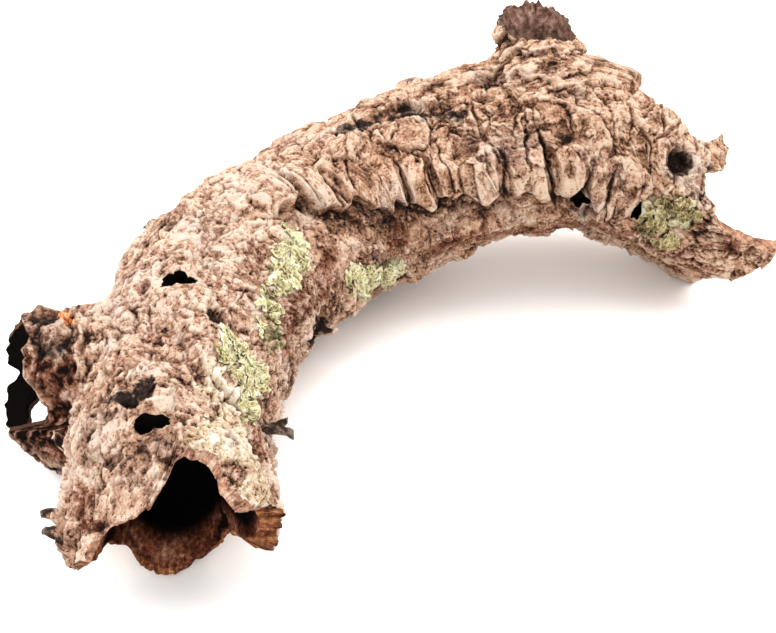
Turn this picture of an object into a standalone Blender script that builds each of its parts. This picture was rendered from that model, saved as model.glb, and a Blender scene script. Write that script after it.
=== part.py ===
"""Piece of cork bark: a bent hollow tube of bark with two broken side collars and patches of lichen."""
import bpy
import bmesh
import numpy as np

NAME = "cork_bark_piece"
MM = 0.001

# Where the middle of the resting box lies, measured from the drawing's own zero, in mm
SHIFT = (-17.8, -23.7, 0.0)

# Middle line of the tube: x, y, z, then the reach to the inner side, outer side, top and bottom, in mm
STATIONS = (
    (-141, -190, 53, 56, 54, 51, 52),
    (-143, -150, 54, 52, 53, 53, 53),
    (-144, -90, 55, 55, 55, 55, 54),
    (-139, -42, 55, 56, 60, 56, 54),
    (-121, 8, 56, 56, 62, 58, 56),
    (-93, 46, 57, 60, 61, 59, 58),
    (-56, 79, 63, 60, 60, 61, 57),
    (-11, 97, 72, 59, 60, 63, 55),
    (42, 108, 82, 54, 60, 62, 48),
    (98, 116, 86, 57, 58, 59, 53),
    (146, 110, 74, 58, 48, 52, 57),
    (190, 98, 60, 57, 38, 40, 61),
    (232, 88, 58, 46, 36, 38, 52),
)
# Degrees round the tube: 0 is the inner side of the bend, 90 the top, 180 the outer side, 270 underneath
# How far the near mouth's edge stands out past the first station, in mm
NEAR_EDGE = (
    (0, 6), (17, 9), (31, 20), (41, 20), (49, 17), (54, 9), (60, 3), (67, 0), (74, 1), (79, 4),
    (84, 18), (89, 25), (97, 28), (107, 27), (112, 24), (116, 24), (120, 27), (124, 32), (128, 36),
    (132, 38), (138, 39), (145, 38), (152, 35), (160, 29), (170, 13), (180, 2), (190, -1), (205, 0),
    (217, 3), (226, -16), (238, -19), (250, -11), (262, -7), (275, -8), (288, -12), (300, -21),
    (306, -25), (314, -17), (324, -5), (336, 4), (348, 6),
)
# How far the near mouth's wall hangs down at its edge, and how far it spreads there, in mm
NEAR_DROP = (
    (0, 0), (55, 0), (80, 9), (98, 15), (110, 22), (118, 26), (128, 26), (138, 22), (150, 14),
    (165, 6), (182, 0),
)
NEAR_SPREAD = (
    (0, 5), (30, 1), (60, 0), (120, 0), (150, -4), (180, -3), (205, -1), (220, 0), (320, 0), (345, 5),
)
# How far the far end's edge stands out past the last station, in mm
FAR_EDGE = (
    (0, -12), (15, -38), (24, -49), (31, -49), (36, -58), (50, -64), (57, -56), (65, -53), (84, -54),
    (90, -66), (96, -96), (102, -120), (150, -126), (190, -106), (230, -62), (262, -44), (290, -38),
    (312, -36), (324, -28), (336, -14), (348, -5), (355, -4),
)
PLATE = (19.0, 25.0, 25.0)
WALL = 12.5
# Thickness left at the near mouth's edge, in mm by degrees, and at the far end's edge
NEAR_WALL = (
    (0, 13), (30, 12), (50, 7), (70, 5), (90, 4.5), (160, 4), (185, 5), (300, 5), (318, 9), (332, 12),
)
FAR_WALL = 6.5

# Broken branch collars: start point, direction, reference up, reach along it with radius, edge by degrees
LEFT = {
    "base": (-143, -90, 50.5), "axis": (-1.0, -0.03, 0.02), "up": (0, 0, 1), "wall": 9.0, "seed": 300,
    "reach": ((5, 38), (25, 47), (40, 49), (55, 47), (70, 45), (85, 46), (130, 46)),
    "edge": (
        (0, 106), (10, 103), (20, 99), (30, 96), (45, 91), (60, 88), (83, 84), (92, 80), (110, 81),
        (117, 79), (124, 79), (131, 80), (136, 76), (143, 71), (148, 68), (156, 67), (162, 68), (165, 76),
        (168, 88), (172, 87), (178, 83), (186, 80), (200, 78), (217, 76), (226, 70), (236, 72),
        (255, 82), (270, 91), (284, 102), (291, 107), (300, 108), (310, 109), (325, 109), (330, 104),
        (337, 103), (342, 109), (351, 107),
    ),
}
TOP = {
    "base": (71, 112, 86), "axis": (-0.04, 0.50, 0.87), "up": (0, 1, 0), "wall": 6.0, "seed": 400,
    "reach": ((5, 36), (25, 46), (40, 48), (52, 40), (62, 32), (72, 26.5), (85, 24.5), (110, 25)),
    "edge": (
        (0, 88), (45, 98), (90, 101), (120, 98), (150, 88), (180, 75), (225, 70), (250, 74),
        (270, 71), (300, 73), (330, 79),
    ),
}

# The shelf of bulging plates: distance along the tube and degrees of its lower lip
SHELF = ((195, 73), (240, 62), (265, 48), (300, 33), (340, 24), (380, 15), (420, 0), (465, -14), (500, -20))

# Knuckles of the shelf: along, degrees, half length, half width, height
KNUCKLES = (
    (222, 76, 10, 11, 4.0), (249, 69, 9, 12, 4.5), (284, 46, 12, 14, 5.0), (316, 37, 10, 12, 4.5),
    (338, 32, 8, 11, 4.0), (360, 28, 8, 11, 4.5), (383, 24, 12, 13, 5.0), (412, 12, 11, 14, 5.0),
    (441, 2, 9, 13, 4.5), (464, 3, 9, 14, 4.0), (486, 8, 10, 14, 3.5),
    (345, 66, 12, 9, 3.0), (372, 50, 10, 9, 3.0), (300, 70, 12, 9, 2.5), (160, 70, 14, 10, 2.5),
    (402, 112, 16, 14, 4.5), (462, 104, 26, 16, 3.0),
)
# Furrows and pits: along, degrees, half length, half width, tilt in degrees, depth
DENTS = (
    (345, 79, 30, 5, -12, 4.5), (429, 20, 3, 9, 8, 6.0), (36, 102, 9, 8, 0, 3.5),
    (98, 65, 5, 5, 0, 4.0), (117, 110, 5, 4, 0, 3.5), (517, 46, 8, 8, 0, 5.5),
    (400, 64, 5, 10, 20, 3.5), (302, 52, 3, 10, 0, 3.5), (268, 62, 3, 9, 0, 3.0),
    (12, 150, 16, 6, 20, 2.5), (56, 70, 12, 4, 30, 2.0), (64, 32, 16, 5, -15, 3.0),
    (420, 92, 20, 6, 10, 3.0), (240, 110, 22, 6, -8, 2.5), (150, 165, 24, 7, 0, 3.0),
    (330, 130, 26, 7, 6, 3.0), (250, 200, 30, 8, 0, 3.0), (400, 230, 26, 8, 0, 3.0),
    (235, 71, 3.5, 12, 0, 4.0), (327, 36, 3, 11, 0, 3.5), (349, 31, 3, 10, 0, 3.5),
    (371, 27, 3, 10, 0, 3.5), (398, 19, 3.5, 12, 0, 4.0), (452, 6, 3, 12, 0, 3.5),
    (520, 312, 45, 18, 0, 6.0),
)
# Holes through the wall, the last one a broken-out notch: along, degrees, half length, half width
HOLES = (
    (17, 103, 4.6, 8.5), (120, 90, 5.0, 6.6), (459, 349, 6.5, 4.6), (503, 1, 2.4, 4.6),
    (511, 98, 28, 24),
)

# Gap in the far lower wall of the left collar: reach along it, degrees, half length, half width
COLLAR_GAP = (88.5, 300, 6.5, 13.0)

# Curled flakes that stand out of the bark: along, degrees, length, half width, half thickness, curl
FLAKES = (
    (51, 12, 12, 4.5, 1.1, -7), (55, 6, 9, 3.5, 1.0, 5), (204, 338, 12, 9.0, 1.4, 7),
    (362, 124, 7, 9.0, 1.3, 8), (196, 148, 6, 6.0, 1.4, 6), (38, 166, 8, 7.0, 1.3, -6),
    (-6, 160, 8, 4.0, 1.0, 3), (-13, 153, 9, 3.5, 1.0, -4), (-20, 150, 10, 4.0, 1.0, 3),
    (-27, 148, 7, 3.5, 1.0, -3),
)

# Lichen patches as overlapping pads: along, degrees, half length, half width
LICHEN = {
    "lichen_bend": (
        (208, 47, 11, 9), (200, 37, 12, 9), (188, 41, 10, 8), (174, 37, 12, 9), (159, 34, 11, 7),
        (144, 36, 10, 7), (129, 33, 10, 6), (116, 32, 8, 6),
    ),
    "lichen_mouth": (
        (80, 52, 8, 10), (70, 43, 11, 12), (58, 36, 10, 9), (48, 33, 9, 7), (74, 28, 9, 8), (84, 38, 7, 8),
    ),
    "lichen_under": (
        (246, 2, 9, 7), (258, 355, 11, 9), (272, 348, 11, 8), (288, 343, 11, 8), (301, 343, 8, 6),
    ),
    "lichen_far": ((519, 2, 10, 8), (527, 12, 10, 8), (537, 20, 8, 7), (531, 352, 10, 7)),
}
LICHEN_RISE = 2.4
LICHEN_TRIANGLES = 640

OUTER_ROWS, OUTER_COLS = 190, 108
INNER_ROWS, INNER_COLS = 70, 44
BARK_TRIANGLES = 11400


def lookup(table, degrees):
    """Straight-line reading of a table that goes once round."""
    keys = np.array([row[0] for row in table] + [table[0][0] + 360.0])
    values = np.array([row[1] for row in table] + [table[0][1]])
    return np.interp(np.asarray(degrees) % 360.0, keys, values)


def ramp(x, low, high):
    """Smooth step from 0 at low to 1 at high."""
    t = np.clip((x - low) / (high - low), 0.0, 1.0)
    return t * t * (3.0 - 2.0 * t)


def scatter(i, j, k, seed):
    """Repeatable numbers from 0 to 1 for whole-number grid places."""
    n = (i * 73856093) ^ (j * 19349663) ^ (k * 83492791) ^ (seed * 40503)
    n = ((n ^ (n >> 13)) * 1274126177) & 0x7FFFFFFF
    n = ((n ^ (n >> 15)) * 668265263) & 0x7FFFFFFF
    return ((n >> 7) & 0xFFFF) / 65535.0


def noise(p, size, seed):
    """Smooth noise from -1 to 1 at points p, with lumps of the given size."""
    q = p / np.asarray(size, float)
    base = np.floor(q).astype(np.int64)
    f = q - base
    w = f * f * (3.0 - 2.0 * f)
    total = np.zeros(p.shape[:-1])
    for a in (0, 1):
        for b in (0, 1):
            for c in (0, 1):
                wx = w[..., 0] if a else 1.0 - w[..., 0]
                wy = w[..., 1] if b else 1.0 - w[..., 1]
                wz = w[..., 2] if c else 1.0 - w[..., 2]
                value = scatter(base[..., 0] + a, base[..., 1] + b, base[..., 2] + c, seed)
                total += wx * wy * wz * value
    return total * 2.0 - 1.0


def plates(p, size, seed):
    """Distance to the nearest plate middle, gap to the next one, and a number for the plate."""
    q = p / np.asarray(size, float)
    base = np.floor(q).astype(np.int64)
    near = np.full(p.shape[:-1], 9.0)
    second = np.full(p.shape[:-1], 9.0)
    mark = np.zeros(p.shape[:-1])
    for a in (-1, 0, 1):
        for b in (-1, 0, 1):
            for c in (-1, 0, 1):
                i, j, k = base[..., 0] + a, base[..., 1] + b, base[..., 2] + c
                dx = i + scatter(i, j, k, seed) - q[..., 0]
                dy = j + scatter(i, j, k, seed + 1) - q[..., 1]
                dz = k + scatter(i, j, k, seed + 2) - q[..., 2]
                d = np.sqrt(dx * dx + dy * dy + dz * dz)
                closer = d < near
                second = np.where(closer, near, np.minimum(second, d))
                mark = np.where(closer, scatter(i, j, k, seed + 3), mark)
                near = np.where(closer, d, near)
    return near, second - near, mark


def curve(rows, t):
    """Smooth curve through the rows at places t."""
    p = np.vstack([2 * rows[0] - rows[1], rows, 2 * rows[-1] - rows[-2]])
    i = np.clip(np.floor(t).astype(int), 0, len(rows) - 2)
    f = (t - i)[:, None]
    a, b, c, d = p[i], p[i + 1], p[i + 2], p[i + 3]
    square = 2 * a - 5 * b + 4 * c - d
    cube = 3 * b - a - 3 * c + d
    return 0.5 * (2 * b + (c - a) * f + square * f ** 2 + cube * f ** 3)


TRACK = curve(np.array(STATIONS, float), np.linspace(0, len(STATIONS) - 1, 400))
ALONG = np.concatenate([[0.0], np.cumsum(np.linalg.norm(np.diff(TRACK[:, :3], axis=0), axis=1))])
LENGTH = ALONG[-1]


def spot(s):
    """Middle point, four reaches and the side and up directions at s mm along the tube."""
    inside = np.clip(s, 0.0, LENGTH)
    cols = [np.interp(inside, ALONG, TRACK[:, k]) for k in range(7)]
    middle = np.stack(cols[:3], -1)
    ahead = np.stack([np.interp(np.clip(inside + 4, 0, LENGTH), ALONG, TRACK[:, k]) for k in range(3)], -1)
    behind = np.stack([np.interp(np.clip(inside - 4, 0, LENGTH), ALONG, TRACK[:, k]) for k in range(3)], -1)
    along = ahead - behind
    along /= np.linalg.norm(along, axis=-1, keepdims=True)
    middle = middle + (s - inside)[..., None] * along
    side = np.cross(along, np.array([0.0, 0.0, 1.0]))
    side /= np.linalg.norm(side, axis=-1, keepdims=True)
    return middle, np.stack(cols[3:], -1), side, np.cross(side, along)


def place(s, angle, grow):
    """Point on the tube at s and angle, moved outwards by grow mm."""
    middle, reach, side, up = spot(s)
    c, v = np.cos(angle), np.sin(angle)
    rx = np.where(c > 0, reach[..., 0], reach[..., 1]) + grow
    rz = np.where(v > 0, reach[..., 2], reach[..., 3]) + grow
    return middle + (c * rx)[..., None] * side + (v * rz)[..., None] * up


def oval(s, degrees, item):
    """How deep inside a tilted oval on the tube each point is: 1 in its middle, 0 outside."""
    turn = np.radians(item[4])
    dx = s - item[0]
    dy = ((degrees - item[1] + 180.0) % 360.0 - 180.0) * 0.95
    u = (dx * np.cos(turn) + dy * np.sin(turn)) / item[2]
    v = (dy * np.cos(turn) - dx * np.sin(turn)) / item[3]
    return np.clip(1.0 - (u * u + v * v) / 2.2, 0.0, 1.0)


def texture(q, knobby):
    """Lumps, plates with cracks between them and thin steps, in mm, at straightened points q."""
    bend = np.stack([noise(q, 22, 11), noise(q, 22, 12), noise(q, 22, 13)], -1) * 5.0
    lump = 2.6 * noise(q, 58, 1) + 1.7 * noise(q, 25, 2)
    near, gap, mark = plates(q + bend, PLATE, 21)
    crack = 1.0 - ramp(gap, 0.02, 0.36)
    plate = (mark - 0.5) * 3.0 + 2.2 * (1.0 - near) - 2.6 * crack
    swirl = 3.4 * noise(q + bend, 38, 31) + 1.5 * noise(q, 15, 32)
    steps = 1.5 * (np.floor(swirl / 1.5) + ramp(swirl / 1.5 - np.floor(swirl / 1.5), 0.55, 0.95))
    return lump + plate * (0.45 + 0.55 * knobby) + steps * (0.75 - 0.45 * knobby)


def shelf(s, degrees):
    """Distance in mm above the lower lip of the shelf, and how strong the shelf is there."""
    lip = np.interp(s, [row[0] for row in SHELF], [row[1] for row in SHELF])
    lip = lip + 3.0 * np.sin(s / 7.0) + 2.0 * np.sin(s / 3.1 + 1.0)
    above = ((degrees - lip + 180.0) % 360.0 - 180.0) * 0.95
    return above, ramp(s, 192, 225) * (1.0 - ramp(s, 470, 510))


def mouth_spread(s, degrees):
    """How far the wall spreads outwards near the mouth, in mm."""
    return lookup(NEAR_SPREAD, degrees) * (1.0 - ramp(s, -18, 12))


def mouth_drop(s, degrees):
    """How far the wall hangs down near the mouth, as a shift of the point."""
    drop = lookup(NEAR_DROP, degrees) * (1.0 - ramp(s, -32, 34))
    return drop[..., None] * np.array([0.0, 0.0, 1.0])


def wall_point(s, angle, grow):
    """Point on the tube's wall, spread and dropped near the mouth, moved outwards by grow mm."""
    degrees = np.degrees(angle) % 360.0
    return place(s, angle, grow + mouth_spread(s, degrees)) - mouth_drop(s, degrees)


def outer_point(s, angle):
    """Point on the outside of the tube with all its relief."""
    degrees = np.degrees(angle) % 360.0
    q = np.stack([s, 50.0 * np.cos(angle), 50.0 * np.sin(angle)], -1)
    above, strength = shelf(s, degrees)
    calm = strength * ramp(above, -62, -42) * (1.0 - ramp(above, -4, 0))
    grow = texture(q, ramp(s, 150, 240)) * (0.35 + 0.65 * ramp(s, -25, 15)) * (1.0 - 0.5 * calm)
    rise = 4.4 * np.exp(-((above - 9.0) / 13.0) ** 2) * (above > -2)
    drop = 5.8 * ramp(above, -30, -7) * (1.0 - ramp(above, -3.5, 0.5))
    grow = grow + strength * (rise - drop)
    for item in KNUCKLES:
        hill = oval(s, degrees, (item[0], item[1], item[2], item[3], 0))
        grow = grow + item[4] * 0.85 * np.sqrt(hill)
    for item in DENTS:
        pit = oval(s, degrees, item)
        grow = grow - item[5] * ramp(pit, 0.0, 0.75)
    fringe = np.exp(-((s + lookup(NEAR_EDGE, degrees)) / 9.0) ** 2)
    slip = -5.5 * np.exp(-((above - 5.0) / 6.5) ** 2) * strength
    return wall_point(s, angle + slip / 54.0, grow - 1.5 * fringe)


def inner_point(s, angle):
    """Point on the inside of the tube, thinner towards both broken ends."""
    degrees = np.degrees(angle) % 360.0
    q = np.stack([s, 40.0 * np.cos(angle), 40.0 * np.sin(angle)], -1)
    near_gap = s + lookup(NEAR_EDGE, degrees)
    far_gap = LENGTH + lookup(FAR_EDGE, degrees) - s
    near_open = 1.0 - ramp(near_gap, -2, 24)
    far_open = 1.0 - ramp(far_gap, -2, 26)
    wall = WALL + (lookup(NEAR_WALL, degrees) - WALL) * near_open + (FAR_WALL - WALL) * far_open
    wall = wall + 1.6 * noise(q, 34, 51) + 0.5 * noise(q, 12, 52)
    return wall_point(s, angle, -wall)


def jag(table, degrees, seed, size):
    """Edge table with broken teeth added."""
    a = np.radians(degrees)
    q = np.stack([50.0 * np.cos(a), 50.0 * np.sin(a), np.zeros_like(a)], -1)
    return lookup(table, degrees) + size * (noise(q, 9, seed) + 0.6 * noise(q, 4.5, seed + 1))


def closed_grid(rows):
    """Vertices and faces of a closed body from rings of points, a cap point at each end."""
    count = len(rows[0])
    points = np.concatenate([[rows[0].mean(0)]] + list(rows) + [[rows[-1].mean(0)]])
    faces = []
    last = 1 + (len(rows) - 1) * count
    for j in range(count):
        k = (j + 1) % count
        faces.append((0, 1 + k, 1 + j))
        faces.append((len(points) - 1, last + j, last + k))
        for i in range(len(rows) - 1):
            a = 1 + i * count
            faces.append((a + j, a + k, a + count + k, a + count + j))
    return points, faces


def tube_rows(surface, low, high, angle, rows, caps):
    """Rings of a tube from edge low to edge high, closed by sunk caps that keep to the edge's shape."""
    rings = []
    half = LENGTH * 0.5
    for q in np.linspace(0.0, 1.0, rows):
        s = low + (half - low) * q * 2.0 if q < 0.5 else half + (high - half) * (q * 2.0 - 1.0)
        rings.append(surface(s, angle))
    for edge, ring, front in ((low, rings[0], True), (high, rings[-1], False)):
        added = []
        for f in caps:
            mid = edge.mean() + (edge - edge.mean()) * min(1.0, f / 0.62)
            middle = spot(mid)[0]
            rim = surface(mid, angle) if f > 0.62 else ring
            added.append(middle + (rim - middle) * f)
        rings = added[::-1] + rings if front else rings + added
    return rings


def collar_frame(spec):
    """Start point of a collar with its own along, side and up directions."""
    axis = np.array(spec["axis"], float)
    axis /= np.linalg.norm(axis)
    up = np.array(spec["up"], float)
    up -= up.dot(axis) * axis
    up /= np.linalg.norm(up)
    return np.array(spec["base"], float), axis, np.cross(axis, up), up


def collar_gap(collection):
    """Peg that breaks the gap through the collar's far lower wall."""
    base, axis, side, up = collar_frame(LEFT)
    turn = np.linspace(0.0, 2.0 * np.pi, 18, endpoint=False)
    wave = 1.0 + 0.15 * np.sin(3 * turn) + 0.08 * np.sin(7 * turn)
    reach = COLLAR_GAP[0] + COLLAR_GAP[2] * wave * np.cos(turn) - 3.0 * np.sin(turn)
    angle = np.radians(COLLAR_GAP[1]) + COLLAR_GAP[3] * wave * np.sin(turn) / 46.0
    ray = np.cos(angle)[:, None] * side + np.sin(angle)[:, None] * up
    rings = [base + reach[:, None] * axis + ray * radius for radius in (30.0, 42.0, 54.0)]
    points, faces = closed_grid(rings)
    return make_object("collar_gap", points, faces, collection)


def collar_rows(spec, angle, rows, inside):
    """Rings of a side collar, its outside or the hollow inside it."""
    base, axis, side, up = collar_frame(spec)
    degrees = np.degrees(angle) % 360.0
    edge = jag(spec["edge"], degrees, spec["seed"] + 7, 2.0)
    start = spec["reach"][0][0]
    end = np.full_like(edge, 126.0) if inside else edge
    reach_at = [row[0] for row in spec["reach"]]
    reach_by = [row[1] for row in spec["reach"]]
    ray = np.cos(angle)[:, None] * side + np.sin(angle)[:, None] * up

    def ring(t):
        radius = np.interp(t, reach_at, reach_by)
        q = np.stack([t, radius * np.cos(angle), radius * np.sin(angle)], -1) + spec["seed"]
        if inside:
            thin = 1.0 - 0.5 * (1.0 - ramp(edge - t, -2, 16))
            radius = radius - spec["wall"] * thin + 0.8 * noise(q, 16, 61)
        else:
            bulge = 2.2 * noise(q, 26, 62) + 1.3 * noise(q, 12, 63)
            _, gap, mark = plates(q, (15, 15, 15), 64)
            plate = (mark - 0.5) * 2.0 - 2.2 * (1.0 - ramp(gap, 0.02, 0.3))
            radius = radius + (bulge + plate) * ramp(t, 20, 40)
            radius = radius - 1.2 * np.exp(-((edge - t) / 6.0) ** 2)
        return base + t[:, None] * axis + ray * radius[:, None]

    rings = [ring(start + (end - start) * q) for q in np.linspace(0.0, 1.0, rows)]
    first = base + start * axis
    rings = [first + (rings[0] - first) * f for f in (0.35, 0.7)] + rings
    for f in (0.85, 0.7, 0.4):
        t = end.mean() + (end - end.mean()) * min(1.0, f / 0.62)
        middle = base + t[:, None] * axis
        rings.append(middle + (rings[rows + 1] - (base + end[:, None] * axis)) * f)
    return rings


def make_object(name, points, faces, collection):
    """New closed mesh object from points in mm, with its faces turned outwards."""
    mesh = bpy.data.meshes.new(name)
    moved = (np.asarray(points) - np.array(SHIFT)) * MM
    mesh.from_pydata(moved.tolist(), [], faces)
    obj = bpy.data.objects.new(name, mesh)
    collection.objects.link(obj)
    bm = bmesh.new()
    bm.from_mesh(mesh)
    bmesh.ops.recalc_face_normals(bm, faces=bm.faces)
    bm.to_mesh(mesh)
    bm.free()
    return obj


def bake(obj):
    """Turn the modifiers of an object into its mesh."""
    view = bpy.context.evaluated_depsgraph_get()
    view.update()
    mesh = bpy.data.meshes.new_from_object(obj.evaluated_get(view))
    obj.modifiers.clear()
    obj.data = mesh


def combine(obj, other, how, solver="EXACT"):
    """Join, cut or keep the shared part of two closed objects."""
    step = obj.modifiers.new(how, "BOOLEAN")
    step.operation = how
    step.solver = solver
    step.object = other
    bake(obj)


def cut_faces(bm):
    """Cut faces into triangles, with a new point where a cut would double an edge that is there already."""
    source = bm.faces.layers.int.new("source")
    for index, face in enumerate(bm.faces):
        face[source] = index
    bmesh.ops.triangulate(bm, faces=bm.faces)
    for edge in [e for e in bm.edges if len(e.link_faces) > 2]:
        groups = {}
        for face in edge.link_faces:
            groups.setdefault(face[source], []).append(face)
        pairs = [group for group in groups.values() if len(group) == 2]
        if not pairs:
            continue
        a, b = edge.verts
        middle = bm.verts.new((a.co + b.co) / 2.0)
        for face in pairs[0]:
            ring = list(face.verts)
            bm.faces.new([middle if v is b else v for v in ring])
            bm.faces.new([middle if v is a else v for v in ring])
            bm.faces.remove(face)
    bm.faces.layers.int.remove(source)
    bm.verts.index_update()


def finish_mesh(obj):
    """Cut faces into triangles, drop loose scraps and turn faces outwards."""
    bm = bmesh.new()
    bm.from_mesh(obj.data)
    cut_faces(bm)
    seen, groups = set(), []
    for vert in bm.verts:
        if vert.index in seen:
            continue
        stack, group = [vert], []
        seen.add(vert.index)
        while stack:
            v = stack.pop()
            group.append(v)
            for edge in v.link_edges:
                o = edge.other_vert(v)
                if o.index not in seen:
                    seen.add(o.index)
                    stack.append(o)
        groups.append(group)
    groups.sort(key=len, reverse=True)
    for group in groups[1:]:
        bmesh.ops.delete(bm, geom=group, context="VERTS")
    bmesh.ops.recalc_face_normals(bm, faces=bm.faces)
    bm.to_mesh(obj.data)
    bm.free()


def finish(name, colour, rough):
    """Principled material with one plain colour."""
    material = bpy.data.materials.new(name)
    material.use_nodes = True
    shader = material.node_tree.nodes["Principled BSDF"]
    shader.inputs["Base Color"].default_value = (*colour, 1.0)
    shader.inputs["Roughness"].default_value = rough
    return material


def hole_body(item, index, collection):
    """Wavy peg that stands square to the wall, for one hole through it."""
    count = 20
    turn = np.linspace(0.0, 2.0 * np.pi, count, endpoint=False)
    wave = 1.0 + 0.16 * np.sin(3 * turn + index) + 0.09 * np.sin(5 * turn + 2 * index)
    s = item[0] + item[2] * wave * np.cos(turn)
    angle = np.radians(item[1]) + item[3] * wave * np.sin(turn) / 52.0
    rings = [place(s, angle, np.full(count, depth)) for depth in (-24.0, -12.0, 0.0, 12.0)]
    points, faces = closed_grid(rings)
    return make_object("hole_%d" % index, points, faces, collection)


def flake_body(item, index, collection):
    """Thin curled tongue of bark rooted in the wall."""
    count = 12
    turn = np.linspace(0.0, 2.0 * np.pi, count, endpoint=False)
    rings = []
    for u in np.linspace(0.0, 1.0, 7):
        out = -5.0 + (item[2] + 5.0) * u
        width = item[3] * (1.0 - 0.45 * u * u)
        s = item[0] + width * np.cos(turn) * (1.0 + 0.2 * np.sin(2 * turn + index))
        lift = item[4] * np.sin(turn) + item[5] * u * u
        rings.append(wall_point(s, np.radians(item[1]) + lift / 52.0, np.full(count, out)))
    points, faces = closed_grid(rings)
    return make_object("flake_%d" % index, points, faces, collection)


def pad_body(item, index, collection):
    """One lobed pad of lichen: rooted under the bark's surface, bumpy on top."""
    count, steps = 30, (0.34, 0.66, 0.88, 1.0)
    turn = np.linspace(0.0, 2.0 * np.pi, count, endpoint=False)
    lobes = 1.0 + 0.13 * np.sin(5 * turn + index * 1.7) + 0.08 * np.sin(9 * turn + index)
    rings = []
    for part, scale in [("under", f) for f in steps] + [("top", f) for f in steps[::-1]]:
        s = item[0] + item[2] * lobes * scale * np.cos(turn)
        angle = np.radians(item[1]) + item[3] * lobes * scale * np.sin(turn) / 52.0
        skin = outer_point(s, angle)
        out = skin - spot(s)[0]
        out /= np.linalg.norm(out, axis=-1, keepdims=True)
        rough = noise(skin, 5.0, 91) * 0.8
        rise = -4.0 if part == "under" else LICHEN_RISE * (1.0 - 0.35 * scale ** 4) + rough
        rings.append(skin + out * np.broadcast_to(rise, s.shape)[:, None])
    points, faces = closed_grid(rings)
    return make_object("pad_%d" % index, points, faces, collection)


def fattened(obj, by, collection):
    """Copy of a body grown by a little, to cut its neighbours clear of it."""
    copy = obj.copy()
    copy.data = obj.data.copy()
    copy.name = "grown_bark"
    collection.objects.link(copy)
    for vert in copy.data.vertices:
        vert.co += vert.normal * by * MM
    return copy


def build_lichen(name, items, grown, parts, cutters):
    """One patch of lichen from its pads, fused and cut clear of the bark."""
    patch = pad_body(items[0], 0, parts)
    patch.name = name
    for index, item in enumerate(items[1:], 1):
        combine(patch, pad_body(item, index, cutters), "UNION")
    finish_mesh(patch)
    thin_out(patch, LICHEN_TRIANGLES)
    combine(patch, grown, "DIFFERENCE")
    finish_mesh(patch)
    return patch


def build_bark(parts, cutters):
    """The whole bark body: outside, collars, hollow inside and holes."""
    angle = np.linspace(0.0, 2.0 * np.pi, OUTER_COLS, endpoint=False)
    degrees = np.degrees(angle)
    low = -jag(NEAR_EDGE, degrees, 71, 2.2)
    high = LENGTH + jag(FAR_EDGE, degrees, 81, 2.6)
    bark = make_object("cork_bark", *closed_grid(
        tube_rows(outer_point, low, high, angle, OUTER_ROWS, (0.93, 0.86, 0.79, 0.70, 0.45))), parts)
    for spec, name in ((LEFT, "left"), (TOP, "top")):
        turn = np.linspace(0.0, 2.0 * np.pi, 76, endpoint=False)
        body = make_object(name + "_collar", *closed_grid(collar_rows(spec, turn, 34, False)), cutters)
        combine(bark, body, "UNION")
    for index, item in enumerate(FLAKES):
        combine(bark, flake_body(item, index, cutters), "UNION")
    angle = np.linspace(0.0, 2.0 * np.pi, INNER_COLS, endpoint=False)
    low = np.full(INNER_COLS, -62.0)
    high = np.full(INNER_COLS, LENGTH + 40.0)
    hollow = make_object("hollow", *closed_grid(
        tube_rows(inner_point, low, high, angle, INNER_ROWS, (0.6,))), cutters)
    for spec, name in ((LEFT, "left"), (TOP, "top")):
        turn = np.linspace(0.0, 2.0 * np.pi, 36, endpoint=False)
        body = make_object(name + "_hollow", *closed_grid(collar_rows(spec, turn, 16, True)), cutters)
        combine(hollow, body, "UNION")
    for index, item in enumerate(HOLES):
        combine(hollow, hole_body(item, index, cutters), "UNION")
    combine(hollow, collar_gap(cutters), "UNION")
    combine(bark, hollow, "DIFFERENCE")
    finish_mesh(bark)
    return bark


def thin_out(obj, target):
    """Fewer triangles, with the shape kept where it bends most."""
    step = obj.modifiers.new("fewer", "DECIMATE")
    step.ratio = target / len(obj.data.polygons)
    bake(obj)
    finish_mesh(obj)


def ground_box(collection):
    """Block under the floor that flattens what would reach below it."""
    x, y, z = 400.0, 400.0, 60.0
    points = [(a * x, b * y, c) for c in (-z, 0.0) for a, b in ((-1, -1), (1, -1), (1, 1), (-1, 1))]
    faces = [(0, 3, 2, 1), (4, 5, 6, 7), (0, 1, 5, 4), (1, 2, 6, 5), (2, 3, 7, 6), (3, 0, 4, 7)]
    obj = make_object("ground", np.array(points, float) + np.array(SHIFT) * (1, 1, 0), faces, collection)
    return obj


def main():
    for obj in list(bpy.data.objects):
        bpy.data.objects.remove(obj, do_unlink=True)
    parts = bpy.data.collections.new(NAME)
    cutters = bpy.data.collections.new("cutters")
    bpy.context.scene.collection.children.link(parts)
    bpy.context.scene.collection.children.link(cutters)
    bark = build_bark(parts, cutters)
    thin_out(bark, BARK_TRIANGLES)
    combine(bark, ground_box(cutters), "DIFFERENCE")
    finish_mesh(bark)
    bark.data.materials.clear()
    bark.data.materials.append(finish("dry cork bark", (0.45, 0.30, 0.22), 0.95))
    grown = fattened(bark, 0.6, cutters)
    green = finish("pale lichen", (0.58, 0.60, 0.38), 0.95)
    for name, items in LICHEN.items():
        patch = build_lichen(name, items, grown, parts, cutters)
        patch.data.materials.clear()
        patch.data.materials.append(green)
    for obj in cutters.objects:
        obj.hide_render = True
        obj.display_type = "WIRE"


main()
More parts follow.
